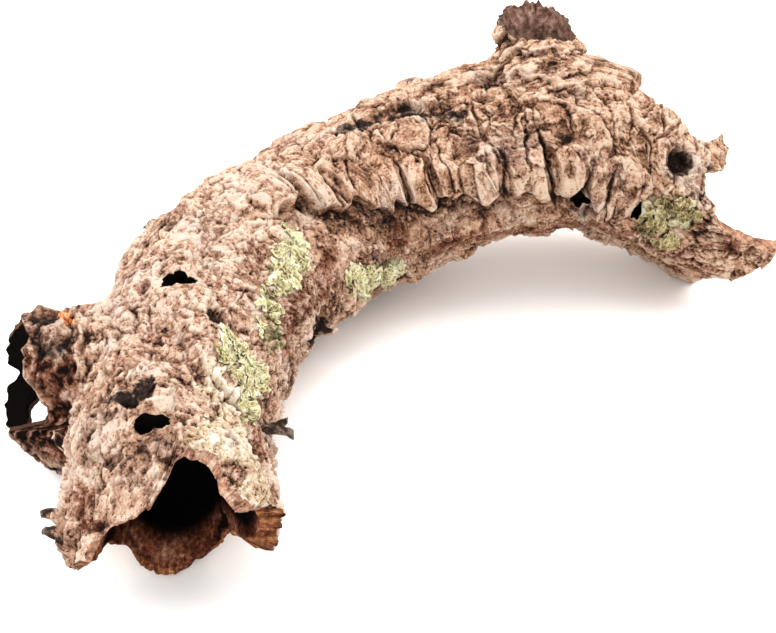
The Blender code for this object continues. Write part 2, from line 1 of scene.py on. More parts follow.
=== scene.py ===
"""Looks of the piece of cork bark: fine relief, broken edges, lichen, finishes, floor, light and camera."""
import bpy
import math
import numpy as np
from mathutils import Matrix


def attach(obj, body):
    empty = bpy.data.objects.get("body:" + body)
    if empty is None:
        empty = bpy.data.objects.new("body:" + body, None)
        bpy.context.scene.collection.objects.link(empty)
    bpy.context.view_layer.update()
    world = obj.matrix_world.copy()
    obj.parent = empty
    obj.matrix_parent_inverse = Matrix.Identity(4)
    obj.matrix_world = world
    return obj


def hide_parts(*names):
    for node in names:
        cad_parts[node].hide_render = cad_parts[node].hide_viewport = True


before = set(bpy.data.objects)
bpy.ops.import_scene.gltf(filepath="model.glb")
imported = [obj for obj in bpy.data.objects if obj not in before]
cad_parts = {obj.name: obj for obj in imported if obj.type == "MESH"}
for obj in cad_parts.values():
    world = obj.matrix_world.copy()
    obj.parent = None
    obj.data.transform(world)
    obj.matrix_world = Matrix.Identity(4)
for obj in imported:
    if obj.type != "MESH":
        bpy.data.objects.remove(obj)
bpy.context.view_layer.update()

MM = 0.001
DETAIL = 1.0
# Rows and columns of points at full density, for the outside, the hollow, a collar and a collar's hollow
OUTER_GRID = (860, 380)
HOLLOW_GRID = (300, 150)
COLLAR_GRID = (90, 210)
COLLAR_HOLLOW_GRID = (52, 110)
# Rings of points that close a collar's torn rim
COLLAR_CAPS = 18
# Most triangles in one piece of the bark
MOST_TRIANGLES = 185000
# Radius of the straight round tube that the wall's patterns are laid on, and mm of wall in one radian
ROUND = 50.0
ARC = 52.0

# Where the middle of the resting box lies, measured from the drawing's own zero, in mm
SHIFT = (-17.8, -23.7, 0.0)

# Middle line of the tube: x, y, z, then the reach to the inner side, outer side, top and bottom, in mm
STATIONS = (
    (-141, -190, 53, 56, 54, 51, 52),
    (-143, -150, 54, 52, 53, 53, 53),
    (-144, -90, 55, 55, 55, 55, 54),
    (-139, -42, 55, 56, 60, 56, 54),
    (-121, 8, 56, 56, 62, 58, 56),
    (-93, 46, 57, 60, 61, 59, 58),
    (-56, 79, 63, 60, 60, 61, 57),
    (-11, 97, 72, 59, 60, 63, 55),
    (42, 108, 82, 54, 60, 62, 48),
    (98, 116, 86, 57, 58, 59, 53),
    (146, 110, 74, 58, 48, 52, 57),
    (190, 98, 60, 57, 38, 40, 61),
    (232, 88, 58, 46, 36, 38, 52),
)
# Degrees round the tube: 0 is the inner side of the bend, 90 the top, 180 the outer side, 270 underneath
# How far the near mouth's edge stands out past the first station, in mm
NEAR_EDGE = (
    (0, 6), (17, 9), (31, 20), (41, 20), (49, 17), (54, 9), (60, 3), (67, 0), (74, 1), (79, 4),
    (84, 18), (89, 25), (97, 28), (107, 27), (112, 24), (116, 24), (120, 27), (124, 32), (128, 36),
    (132, 38), (138, 39), (145, 38), (152, 35), (160, 29), (170, 13), (180, 2), (190, -1), (205, 0),
    (217, 3), (226, -16), (238, -19), (250, -11), (262, -7), (275, -8), (288, -12), (300, -21),
    (306, -25), (314, -17), (324, -5), (336, 4), (348, 6),
)
# How far the near mouth's wall hangs down at its edge, and how far it spreads there, in mm
NEAR_DROP = (
    (0, 0), (55, 0), (80, 9), (98, 15), (110, 22), (118, 26), (128, 26), (138, 22), (150, 14),
    (165, 6), (182, 0),
)
NEAR_SPREAD = (
    (0, 5), (30, 1), (60, 0), (120, 0), (150, -4), (180, -3), (205, -1), (220, 0), (320, 0), (345, 5),
)
# How far the far end's edge stands out past the last station, in mm
FAR_EDGE = (
    (0, -12), (15, -38), (24, -49), (31, -49), (36, -58), (50, -64), (57, -56), (65, -53), (84, -54),
    (90, -66), (96, -96), (102, -120), (150, -126), (190, -106), (230, -62), (262, -44), (290, -38),
    (312, -36), (324, -28), (336, -14), (348, -5), (355, -4),
)
PLATE = (19.0, 25.0, 25.0)
WALL = 12.5
# Thickness left at the near mouth's edge, in mm by degrees, and at the far end's edge
NEAR_WALL = (
    (0, 13), (30, 12), (50, 7), (70, 5), (90, 4.5), (160, 4), (185, 5), (300, 5), (318, 9), (332, 12),
)
FAR_WALL = 6.5

# Broken branch collars: start point, direction, reference up, reach along it with radius, edge by degrees
LEFT = {
    "base": (-143, -90, 50.5), "axis": (-1.0, -0.03, 0.02), "up": (0, 0, 1), "wall": 9.0, "seed": 300,
    "reach": ((5, 38), (25, 47), (40, 49), (55, 47), (70, 45), (85, 46), (130, 46)),
    "edge": (
        (0, 106), (10, 103), (20, 99), (30, 96), (45, 91), (60, 88), (83, 84), (92, 80), (110, 81),
        (117, 79), (124, 79), (131, 80), (136, 76), (143, 71), (148, 68), (156, 67), (162, 68), (165, 76),
        (168, 88), (172, 87), (178, 83), (186, 80), (200, 78), (217, 76), (226, 70), (236, 72),
        (255, 82), (270, 91), (284, 102), (291, 107), (300, 108), (310, 109), (325, 109), (330, 104),
        (337, 103), (342, 109), (351, 107),
    ),
}
TOP = {
    "base": (71, 112, 86), "axis": (-0.04, 0.50, 0.87), "up": (0, 1, 0), "wall": 6.0, "seed": 400,
    "reach": ((5, 36), (25, 46), (40, 48), (52, 40), (62, 32), (72, 26.5), (85, 24.5), (110, 25)),
    "edge": (
        (0, 88), (45, 98), (90, 101), (120, 98), (150, 88), (180, 75), (225, 70), (250, 74),
        (270, 71), (300, 73), (330, 79),
    ),
}

# The shelf of bulging plates: distance along the tube and degrees of its lower lip
SHELF = (
    (195, 73), (240, 62), (265, 48), (300, 33), (340, 24), (380, 15), (418, 4), (440, 7), (456, 4),
    (474, -10), (500, -18),
)

# Knuckles of the shelf: along, degrees, half length, half width, height
KNUCKLES = (
    (222, 76, 10, 11, 4.0), (249, 69, 9, 12, 4.5), (284, 46, 12, 14, 5.0), (300, 43, 18, 13, 4.5),
    (316, 37, 10, 12, 4.5),
    (338, 32, 8, 11, 4.0), (360, 28, 8, 11, 4.5), (383, 24, 12, 13, 5.0), (412, 12, 11, 14, 5.0),
    (441, 15, 10, 11, 4.5), (466, 3, 9, 14, 4.0), (486, 8, 10, 14, 3.5),
    (345, 66, 12, 9, 3.0), (372, 50, 10, 9, 3.0), (300, 70, 12, 9, 2.5), (160, 70, 14, 10, 2.5),
    (402, 112, 16, 14, 4.5), (462, 104, 26, 16, 3.0),
)
# Furrows and pits: along, degrees, half length, half width, tilt in degrees, depth
DENTS = (
    (345, 79, 30, 5, -12, 4.5), (429, 20, 3, 9, 8, 6.0), (36, 102, 9, 8, 0, 3.5),
    (98, 65, 5, 5, 0, 4.0), (117, 110, 5, 4, 0, 3.5), (517, 46, 8, 8, 0, 5.5),
    (400, 64, 5, 10, 20, 3.5), (268, 62, 3, 9, 0, 3.0),
    (12, 150, 16, 6, 20, 2.5), (56, 70, 12, 4, 30, 2.0), (64, 32, 16, 5, -15, 3.0),
    (420, 92, 20, 6, 10, 3.0), (240, 110, 22, 6, -8, 2.5), (150, 165, 24, 7, 0, 3.0),
    (330, 130, 26, 7, 6, 3.0), (250, 200, 30, 8, 0, 3.0), (400, 230, 26, 8, 0, 3.0),
    (235, 71, 3.5, 12, 0, 4.0), (327, 36, 3, 11, 0, 3.5), (349, 31, 3, 10, 0, 3.5),
    (398, 19, 3.5, 12, 0, 4.0), (452, 6, 3, 12, 0, 3.5),
    (520, 312, 45, 18, 0, 6.0), (517, 46, 5.5, 5.5, 0, 7.0),
)
# Holes through the wall, and the broken-out notch: along, degrees, half length, half width
HOLES = ((14.5, 93.5, 3.4, 8.2), (121, 91, 5.0, 7.4), (453, 350, 10.5, 5.6), (503, 1, 2.4, 4.6))
NOTCH = (511, 98, 28, 24)

# Gap in the far lower wall of the left collar: reach along it, degrees, half length, half width
COLLAR_GAP = (88.5, 300, 6.5, 13.0)

# Curled flakes that stand out of the bark: along, degrees, length, half width, half thickness, curl
FLAKES = (
    (51, 12, 12, 4.5, 1.1, -7), (55, 6, 9, 3.5, 1.0, 5), (204, 338, 12, 9.0, 1.4, 7),
    (362, 124, 7, 9.0, 1.3, 8), (196, 148, 6, 6.0, 1.4, 6), (38, 166, 8, 7.0, 1.3, -6),
    (-6, 160, 8, 4.0, 1.0, 3), (-13, 153, 9, 3.5, 1.0, -4), (-20, 150, 10, 4.0, 1.0, 3),
    (-27, 148, 7, 3.5, 1.0, -3),
)

# Lichen patches as overlapping pads: along, degrees, half length, half width
LICHEN = {
    "lichen_bend": (
        (208, 47, 11, 9), (200, 37, 12, 9), (188, 41, 10, 8), (174, 37, 12, 9), (159, 34, 11, 7),
        (144, 36, 10, 7), (129, 33, 10, 6), (116, 32, 8, 6),
    ),
    "lichen_mouth": (
        (80, 52, 8, 10), (70, 43, 11, 12), (58, 36, 10, 9), (48, 33, 9, 7), (74, 28, 9, 8), (84, 38, 7, 8),
    ),
    "lichen_under": (
        (246, 2, 9, 7), (258, 355, 11, 9), (272, 348, 11, 8), (288, 343, 11, 8), (301, 343, 8, 6),
    ),
    "lichen_far": ((519, 2, 10, 8), (527, 12, 10, 8), (537, 20, 8, 7), (531, 352, 10, 7)),
}

# Thin dark cracks that part the knuckles: along, degrees, half length round the tube, half width, tilt, depth
CRACKS = (
    (459, 346, 5, 12, 0, 3.5), (448, 349, 4, 8, 0, 2.5), (45, 47, 12, 2.0, -34, 5.0),
    (517, 46, 6, 5.5, 0, 4.0), (505, 60, 12, 1.2, -30, 2.5), (492, 75, 14, 1.2, 25, 2.5),
    (228, 74, 9, 1.2, 10, 2.6), (238, 70, 8, 1.2, -6, 2.4), (246, 68, 9, 1.2, 4, 2.4),
    (263, 58, 12, 1.5, -12, 3.0), (327, 33, 9, 2.0, -10, 4.5), (349, 27, 8, 1.0, 8, 2.0),
    (370, 23, 7, 1.0, -3, 1.8), (398, 12, 9, 1.3, 5, 2.6), (427, 14, 22, 1.8, 8, 5.0),
    (452, 4, 10, 1.4, -8, 3.0), (475, 8, 9, 1.4, 4, 2.8), (300, 86, 7, 1.0, 35, 2.4),
    (288, 66, 14, 1.0, -50, 1.6), (318, 92, 16, 1.0, 8, 1.8), (392, 52, 16, 1.2, 9, 2.4),
    (415, 40, 12, 1.0, -14, 2.2),
)

# Stains as round spots on the wall: along, degrees, radius in mm
CREAM = (
    (582, 352, 5), (44, 54, 15), (34, 46, 16), (24, 40, 16), (12, 34, 16), (2, 30, 14), (-8, 36, 10),
    (54, 60, 11), (10, 60, 12),
)
# Black charred spots, which also paint shade into pits, holes, cracks and along the long furrow from 310 to
# 380 mm
CHAR_AND_SHADE = (
    (309, 86, 8), (319, 84, 9), (329, 82, 9), (339, 79, 9), (349, 76, 9), (359, 72, 9), (369, 67, 8),
    (380, 60, 7), (38, 100, 8), (33, 108, 7), (200, 340, 12), (212, 336, 10), (98, 65, 5), (128, 92, 4),
    (117, 110, 3), (448, 347, 7), (468, 347, 6), (458, 343, 7), (520, 84, 6), (60, 38, 4),
)
RUST = (
    (351, 344, 12), (372, 334, 12), (392, 324, 14), (415, 318, 14), (438, 314, 14), (465, 316, 14),
    (491, 319, 14), (525, 321, 14), (560, 330, 12), (500, 336, 12), (545, 345, 14), (570, 0, 11),
    (545, 18, 8), (44, 36, 6), (40, 30, 6), (30, 20, 8), (42, 22, 8), (-20, 128, 9), (-6, 132, 8),
    (310, 8, 9), (130, 18, 13), (150, 20, 15), (175, 18, 14), (200, 14, 13), (225, 20, 10),
)
MOSS = (
    (519, 2, 17), (530, 12, 16), (200, 40, 15), (172, 38, 13), (76, 40, 12), (262, 354, 16),
    (288, 344, 15), (120, 28, 14),
)
# Blackened flakes, and painted shade deep inside the knot hole: along, degrees, radius, and how far off the
# wall the spot lies
BURNT_AND_HOLE_SHADE = (
    (-8, 158, 9, 10), (-17, 152, 9, 10), (-25, 149, 8, 9), (362, 124, 6, 6), (196, 148, 6, 5),
    (38, 166, 6, 5), (52, 8, 13, 10), (517, 46, 9, -8),
)
# Stains on the collars: reach along the collar, degrees round it, radius in mm
# The left collar's dark spots at 215 to 250 degrees paint shade on its lower front, and the rest are char
LEFT_CHAR_AND_SHADE = (
    (73, 80, 7), (79, 78, 6), (70, 112, 5), (62, 114, 5), (62, 215, 11), (76, 230, 11), (90, 240, 9),
    (62, 250, 11),
)
LEFT_RUST = ((64, 150, 15), (76, 165, 10), (56, 135, 12), (60, 185, 12), (70, 125, 9))
LEFT_ORANGE = ((67, 78, 7), (62, 83, 6))
TOP_CHAR = (
    (92, 20, 6), (97, 60, 7), (99, 100, 7), (90, 350, 6), (84, 330, 5), (84, 200, 5), (97, 130, 6),
)

# Finish of a face: skin of the bark, torn edge, inside of the tube
SKIN, TORN, INSIDE = 0, 1, 2

# Rows of tones, read along a finish's tone value: how far along in percent, and the colour there
BARK_TONES = {
    "plain": "5 21140E, 22 54392C, 40 8A6550, 56 B18971, 76 CBA991, 95 DDC7B4",
    "far": "5 20130D, 22 4F3528, 42 825C45, 58 A98066, 76 C39D82, 95 D8BCA4",
    "grey": "5 1C1412, 22 48372F, 42 765F54, 60 9A8174, 78 B9A092, 95 D4C2B6",
    "cream": "5 3E2B1E, 22 806249, 36 B49575, 54 D0B697, 76 DFCDB3, 95 E8DDCD",
    "burl": "5 1A0F0B, 22 402B21, 42 6C4D3E, 60 8E6B59, 78 AA8873, 95 C8AC98",
    "rust": "5 1C0E09, 25 442418, 45 6C422F, 62 8C5E48, 80 A87E68, 97 C8A896",
    "moss": "5 252118, 25 4E4730, 45 756C4A, 62 958C64, 80 B1A782, 97 C9C3A4",
    "orange": "5 3A1A0C, 25 8A4620, 45 BC6632, 62 D87E44, 80 E89C64, 97 F2C49A",
    "char_and_shade": "5 090605, 25 1A110E, 50 2A1D18, 70 3E2F28, 85 58473E, 97 78675B",
}
TORN_TONES = "5 1E0E08, 25 482416, 45 6A3C23, 60 885434, 80 A47249, 97 C09670"
LIP_TONES = "5 452B20, 25 825943, 45 A47761, 60 BA9179, 80 CBAB95, 97 DBC7B6"
INSIDE_TONES = "5 27130B, 30 4E291A, 50 75412D, 68 955B43, 85 AC755D, 97 C1917B"
CROWN_TONES = "5 2A1C16, 30 4E382E, 50 6C5044, 68 84675A, 85 9A7D6E, 97 B29A8A"
PALE_LICHEN = "2 3E3020, 20 746440, 36 A69A6C, 55 C6BE90, 75 DAD4AE, 95 EEEAD4"
DARK_LICHEN = "2 2C2214, 20 584828, 36 7E6B44, 55 9C8E62, 75 BAAB82, 95 D6C8A4"
# Range of the tone value of the bark, from its cracks to its ridges
DARKEST, PALEST = 0.44, 0.98

# Lamps of the studio: name, place, size of its face, power, and the point that it looks at
LAMPS = (
    ("light_above", (0.0, 0.3, 1.5), 1.3, 17.0, (0.0, 0.05, 0.05)),
    ("light_left", (-1.25, 0.2, 0.95), 0.8, 12.0, (0.0, 0.0, 0.05)),
    ("light_right", (1.2, 0.35, 0.95), 0.8, 10.0, (0.0, 0.0, 0.05)),
)
# Camera: its place, how many degrees it looks down, and its lens in widths of the picture
CAMERA_PLACE = (-0.0122, -0.6213, 0.52)
CAMERA_SLANT = 37.0
CAMERA_LENS = 1300.0 / 776.0
SENSOR = 36.0

# Corners of a grid cell, the cell with all its neighbours, and the twelve slopes of the crumbly noise
CORNERS = [(a, b, c) for a in (0, 1) for b in (0, 1) for c in (0, 1)]
AROUND = [(a, b, c) for a in (-1, 0, 1) for b in (-1, 0, 1) for c in (-1, 0, 1)]
SIGNS = [(a, b) for a in (1, -1) for b in (1, -1)]
SLOPES = [(a, b, 0) for a, b in SIGNS] + [(a, 0, b) for a, b in SIGNS] + [(0, a, b) for a, b in SIGNS]
SLOPES = np.array(SLOPES, float)


def read_off(table, places):
    """Straight-line reading of a table of places and values."""
    return np.interp(places, [row[0] for row in table], [row[1] for row in table])


def lookup(table, degrees):
    """Straight-line reading of a table that goes once round."""
    return read_off([*table, (table[0][0] + 360.0, table[0][1])], np.asarray(degrees) % 360.0)


def unit(vectors):
    """The same directions with a length of 1."""
    return vectors / np.linalg.norm(vectors, axis=-1, keepdims=True)


def full_turn(count):
    """Angles once round, evenly spaced."""
    return np.linspace(0.0, 2.0 * np.pi, count, endpoint=False)


def ramp(x, low, high):
    """Smooth step from 0 at low to 1 at high."""
    t = np.clip((x - low) / (high - low), 0.0, 1.0)
    return t * t * (3.0 - 2.0 * t)


def scatter(grid, seed):
    """Repeatable numbers from 0 to 1 for whole-number grid places."""
    n = (grid[..., 0] * 73856093) ^ (grid[..., 1] * 19349663) ^ (grid[..., 2] * 83492791) ^ (seed * 40503)
    n = ((n ^ (n >> 13)) * 1274126177) & 0x7FFFFFFF
    n = ((n ^ (n >> 15)) * 668265263) & 0x7FFFFFFF
    return ((n >> 7) & 0xFFFF) / 65535.0


def cell(p, size):
    """The grid cell of the given size that each point lies in, and the point's place within it."""
    q = p / np.asarray(size, float)
    base = np.floor(q).astype(np.int64)
    return base, q - base


def corner_share(w, corner):
    """How much one corner of the cell counts at each place in it."""
    a, b, c = corner
    return np.abs((1 - a - w[..., 0]) * (1 - b - w[..., 1]) * (1 - c - w[..., 2]))


def noise(p, size, seed):
    """Smooth noise from -1 to 1 at points p, with lumps of the given size."""
    base, f = cell(p, size)
    w = f * f * (3.0 - 2.0 * f)
    total = np.zeros(p.shape[:-1])
    for corner in CORNERS:
        total += corner_share(w, corner) * scatter(base + corner, seed)
    return total * 2.0 - 1.0


def plates(p, size, seed):
    """Distance to the nearest plate middle, gap to the next one, and a number for the plate."""
    q = p / np.asarray(size, float)
    base = cell(p, size)[0]
    near = np.full(p.shape[:-1], 9.0)
    second = np.full(p.shape[:-1], 9.0)
    number = np.zeros(p.shape[:-1])
    for step in AROUND:
        there = base + step
        dx, dy, dz = (there[..., k] + scatter(there, seed + k) - q[..., k] for k in range(3))
        d = np.sqrt(dx * dx + dy * dy + dz * dz)
        closer = d < near
        second = np.where(closer, near, np.minimum(second, d))
        number = np.where(closer, scatter(there, seed + 3), number)
        near = np.where(closer, d, near)
    return near, second - near, number


def crumble(p, size, seed):
    """Uneven noise from about -1 to 1 at points p, that shows no grid, with lumps of the given size."""
    base, f = cell(p, size)
    w = f * f * f * (f * (f * 6.0 - 15.0) + 10.0)
    total = np.zeros(p.shape[:-1])
    for corner in CORNERS:
        pick = scatter(base + corner, seed) * 11.999
        slope = SLOPES[pick.astype(np.int64)]
        total += corner_share(w, corner) * ((f - corner) * slope).sum(-1)
    return total


def fractal(p, size, seed, octaves, rough=0.55):
    """Crumbly noise with finer and finer noise added to it."""
    total = np.zeros(p.shape[:-1])
    for k in range(octaves):
        total += rough ** k * crumble(p, np.asarray(size, float) / 2.03 ** k, seed + k)
    return total


def drift(p, size, seed, step, octaves, reach):
    """Uneven shifts of about reach mm in all three directions."""
    return np.stack([fractal(p, size, seed + step * k, octaves) for k in range(3)], -1) * reach


def laid_out(s, angle, radius=ROUND):
    """Places on the wall, laid out as a straight round tube."""
    return np.stack([s, radius * np.cos(angle), radius * np.sin(angle)], -1)


def curve(rows, t):
    """Smooth curve through the rows at places t."""
    p = np.vstack([2 * rows[0] - rows[1], rows, 2 * rows[-1] - rows[-2]])
    i = np.clip(np.floor(t).astype(int), 0, len(rows) - 2)
    f = (t - i)[:, None]
    a, b, c, d = p[i], p[i + 1], p[i + 2], p[i + 3]
    square = 2 * a - 5 * b + 4 * c - d
    cube = 3 * b - a - 3 * c + d
    return 0.5 * (2 * b + (c - a) * f + square * f ** 2 + cube * f ** 3)


TRACK = curve(np.array(STATIONS, float), np.linspace(0, len(STATIONS) - 1, 400))
ALONG = np.concatenate([[0.0], np.cumsum(np.linalg.norm(np.diff(TRACK[:, :3], axis=0), axis=1))])
LENGTH = ALONG[-1]


def track_at(s, columns):
    """Columns of the track at s mm along the tube."""
    return np.stack([np.interp(np.clip(s, 0.0, LENGTH), ALONG, TRACK[:, k]) for k in columns], -1)


def spot(s):
    """Middle point, four reaches and the side and up directions at s mm along the tube."""
    inside = np.clip(s, 0.0, LENGTH)
    along = unit(track_at(inside + 4, (0, 1, 2)) - track_at(inside - 4, (0, 1, 2)))
    middle = track_at(inside, (0, 1, 2)) + (s - inside)[..., None] * along
    side = unit(np.cross(along, np.array([0.0, 0.0, 1.0])))
    return middle, track_at(inside, (3, 4, 5, 6)), side, np.cross(side, along)


def place(s, angle, grow):
    """Point on the tube at s and angle, moved outwards by grow mm."""
    middle, reach, side, up = spot(s)
    c, v = np.cos(angle), np.sin(angle)
    rx = np.where(c > 0, reach[..., 0], reach[..., 1]) + grow
    rz = np.where(v > 0, reach[..., 2], reach[..., 3]) + grow
    return middle + (c * rx)[..., None] * side + (v * rz)[..., None] * up


def oval(s, degrees, item):
    """How deep inside a tilted oval on the tube each point is: 1 in its middle, 0 outside."""
    turn = np.radians(item[4])
    dx = s - item[0]
    dy = ((degrees - item[1] + 180.0) % 360.0 - 180.0) * 0.95
    u = (dx * np.cos(turn) + dy * np.sin(turn)) / item[2]
    v = (dy * np.cos(turn) - dx * np.sin(turn)) / item[3]
    return np.clip(1.0 - (u * u + v * v) / 2.2, 0.0, 1.0)


def treads(height, rise, start):
    """Height cut into flat treads with steep risers, as bark peels in layers."""
    t = height / rise
    whole = np.floor(t)
    return rise * (whole + ramp(t - whole, start, 0.97))


def texture(q, knobby):
    """Lumps, plates with cracks between them and thin steps, in mm, at straightened points q."""
    bend = np.stack([noise(q, 22, 11 + k) for k in range(3)], -1) * 5.0
    fray = drift(q, 11, 14, 4, 3, 4.0)
    lump = 2.6 * noise(q, 58, 1) + 1.7 * noise(q, 25, 2)
    near, gap, mark = plates(q + bend + fray, PLATE, 21)
    crack = (1.0 - ramp(gap, 0.0, 0.16)) * ramp(crumble(q, 40, 29), -0.25, 0.2)
    plate = (mark - 0.5) * 3.0 + 1.3 * (1.0 - near) - 1.6 * crack - 0.1
    swirl = 3.4 * noise(q + bend, 38, 31) + 1.5 * noise(q, 15, 32) + 0.7 * fractal(q, 9, 33, 3)
    steps = treads(swirl, 1.5, 0.6)
    return lump + plate * (0.45 + 0.55 * knobby) + steps * (0.75 - 0.45 * knobby)


def fine_texture(q, knobby, calm):
    """Bumps, peeling layers, chips, crumbs, short cracks and pits between the large forms, in mm."""
    warp = drift(q, 19, 101, 5, 3, 7.0)
    bent = q + warp
    soft = 1.0 - 0.7 * calm
    bumps = 0.6 * (0.3 - np.abs(crumble(bent, (22, 13, 13), 111)))
    peel = 6.6 * fractal(bent, (48, 24, 24), 121, 5, 0.45)
    layers = treads(peel, 2.0, 0.86)
    _, gap, number = plates(q + 0.35 * warp, (12.5, 9, 9), 151)
    open_here = ramp(crumble(q, 30, 143), -0.35, 0.1)
    chips = (number - 0.5) * 1.2 - 1.0 * (1.0 - ramp(gap, 0.0, 0.12)) * open_here
    small, slit, number = plates(q + 0.5 * warp, (6.0, 4.2, 4.2), 155)
    flakes = (number - 0.5) * 0.6 - 0.2 * (1.0 - ramp(slit, 0.0, 0.15))
    threads = q + 0.1 * warp
    lines = 0.8 * crumble(threads, (40, 2.4, 2.4), 127) + 0.5 * crumble(threads, (20, 1.6, 1.6), 128)
    crumbs = 0.2 * crumble(bent, 3.0, 131) + 0.35 * (0.3 - np.abs(crumble(q, 1.8, 132)))
    valley = np.abs(crumble(bent, (52, 19, 19), 141))
    crack = (1.0 - ramp(valley, 0.0, 0.04)) * ramp(crumble(q, 26, 142), -0.05, 0.2)
    pit = (1.0 - ramp(small, 0.1, 0.28)) * (number > 0.8)
    total = bumps * soft + (layers * 0.85 + chips * 0.8 + flakes * (0.8 - 0.35 * knobby)) * (1.0 - 0.4 * calm)
    total += lines * (0.15 + 0.5 * knobby) * soft + crumbs * (1.0 + 1.3 * calm)
    return total - 2.0 * crack * soft - 0.9 * pit


def shelf(s, degrees):
    """Distance in mm above the lower lip of the shelf, and how strong the shelf is there."""
    lip = read_off(SHELF, s) + 3.0 * np.sin(s / 7.0) + 2.0 * np.sin(s / 3.1 + 1.0)
    above = ((degrees - lip + 180.0) % 360.0 - 180.0) * 0.95
    return above, ramp(s, 192, 225) * (1.0 - ramp(s, 470, 510))


def mouth_spread(s, degrees):
    """How far the wall spreads outwards near the mouth, in mm."""
    return lookup(NEAR_SPREAD, degrees) * (1.0 - ramp(s, -18, 12))


def mouth_drop(s, degrees):
    """How far the wall hangs down near the mouth, as a shift of the point."""
    drop = lookup(NEAR_DROP, degrees) * (1.0 - ramp(s, -32, 34))
    return drop[..., None] * np.array([0.0, 0.0, 1.0])


def wall_point(s, angle, grow):
    """Point on the tube's wall, spread and dropped near the mouth, moved outwards by grow mm."""
    degrees = np.degrees(angle) % 360.0
    return place(s, angle, grow + mouth_spread(s, degrees)) - mouth_drop(s, degrees)


def edge_gaps(s, degrees):
    """How far each place on the wall lies in from the near broken edge and from the far one, in mm."""
    return s + lookup(NEAR_EDGE, degrees), LENGTH + lookup(FAR_EDGE, degrees) - s


def outer_point(s, angle):
    """Point on the outside of the tube with all its relief."""
    degrees = np.degrees(angle) % 360.0
    q = laid_out(s, angle)
    knobby = ramp(s, 150, 240)
    above, strength = shelf(s, degrees)
    calm = strength * ramp(above, -62, -42) * (1.0 - ramp(above, -4, 0))
    grow = texture(q, knobby) * (0.35 + 0.65 * ramp(s, -25, 15)) * (1.0 - 0.5 * calm)
    rise = 4.4 * np.exp(-((above - 9.0) / 13.0) ** 2) * (above > -2)
    drop = 5.8 * ramp(above, -30, -7) * (1.0 - ramp(above, -3.5, 0.5))
    grow = grow + strength * (rise - drop)
    blocks = np.zeros_like(grow)
    for along, turn, length, width, height in KNUCKLES:
        hill = oval(s, degrees, (along, turn, length, width, 0))
        blocks = np.maximum(blocks, height * 0.85 * hill ** 0.38)
    grow = grow + blocks
    for item in DENTS:
        pit = oval(s, degrees, item)
        grow = grow - item[5] * ramp(pit, 0.0, 0.75)
    wander = 3.0 * fractal(q, 12, 161, 3)
    for along, turn, across, width, tilt, depth in CRACKS:
        cut = oval(s + wander, degrees, (along, turn, width, across, tilt))
        grow = grow - depth * ramp(cut, 0.0, 0.6)
    fine = fine_texture(q, knobby, calm)
    for along, turn, length, width in HOLES:
        rim = oval(s, degrees, (along, turn, length + 3, width + 3, 0))
        fine = fine * (1.0 - 0.75 * ramp(rim, 0.0, 0.5))
    plump = strength * ramp(above, -4, 1) * (1.0 - ramp(above, 22, 38))
    grow = grow + fine * (1.0 - 0.5 * plump)
    near_gap, far_gap = edge_gaps(s, degrees)
    fringe = np.exp(-(near_gap / 9.0) ** 2)
    thinnest = 2.2 + 6.5 * ramp(near_gap, 0, 32) * ramp(far_gap, -10, 22)
    grow = np.maximum(grow, -thinnest + 0.25 * (grow + thinnest))
    slip = -5.5 * np.exp(-((above - 5.0) / 6.5) ** 2) * strength
    return wall_point(s, angle + slip / 54.0, grow - 1.5 * fringe)


def inner_point(s, angle):
    """Point on the inside of the tube, thinner towards both broken ends, with lengthwise ribs."""
    degrees = np.degrees(angle) % 360.0
    q = laid_out(s, angle, 40.0)
    near_gap, far_gap = edge_gaps(s, degrees)
    near_open = 1.0 - ramp(near_gap, -2, 24)
    far_open = 1.0 - ramp(far_gap, -2, 26)
    wall = WALL + (lookup(NEAR_WALL, degrees) - WALL) * near_open + (FAR_WALL - WALL) * far_open
    wall = wall + 1.6 * noise(q, 34, 51) + 0.5 * noise(q, 12, 52)
    ribs = 0.5 * crumble(q, (22, 5, 5), 53) + 0.5 * fractal(q, (8, 4, 4), 54, 3)
    return wall_point(s, angle, -wall + ribs)


def jag(table, degrees, seed, size):
    """Edge table with broken teeth added, large ones and fine ones."""
    a = np.radians(degrees)
    q = np.stack([50.0 * np.cos(a), 50.0 * np.sin(a), np.zeros_like(a)], -1)
    fine = 0.45 * noise(q, 2.2, seed + 2)
    return lookup(table, degrees) + size * (noise(q, 9, seed) + 0.6 * noise(q, 4.5, seed + 1) + fine)


def tube_rings(surface, low, high, angle, rows, caps, tooth):
    """Rings of a tube from edge low to edge high, closed by sunk caps whose rims show torn layers."""
    rings = []
    half = LENGTH * 0.5
    for q in np.linspace(0.0, 1.0, rows):
        s = low + (half - low) * q * 2.0 if q < 0.5 else half + (high - half) * (q * 2.0 - 1.0)
        rings.append(surface(s, angle))
    for edge, ring, front in ((low, rings[0], True), (high, rings[-1], False)):
        added = []
        for f in caps:
            layer = np.stack([np.full_like(angle, 55.0 * f), 9.0 * np.cos(angle), 9.0 * np.sin(angle)], -1)
            torn = tooth * (noise(layer, (1.7, 2.0, 2.0), 201) + 0.6 * noise(layer, (0.9, 0.8, 0.8), 202))
            slant = np.roll(edge, int((1.0 - max(f, 0.7)) * 26 * DETAIL))
            mid = edge.mean() + (slant - edge.mean()) * min(1.0, f / 0.62) + torn
            middle = spot(mid)[0]
            rim = surface(mid, angle) if f > 0.62 else ring
            added.append(middle + (rim - middle) * f)
        rings = added[::-1] + rings if front else rings + added
    return np.array(rings)


def collar_frame(spec):
    """Start point of a collar with its own along, side and up directions."""
    axis = np.array(spec["axis"], float)
    axis /= np.linalg.norm(axis)
    up = np.array(spec["up"], float)
    up -= up.dot(axis) * axis
    up /= np.linalg.norm(up)
    return np.array(spec["base"], float), axis, np.cross(axis, up), up


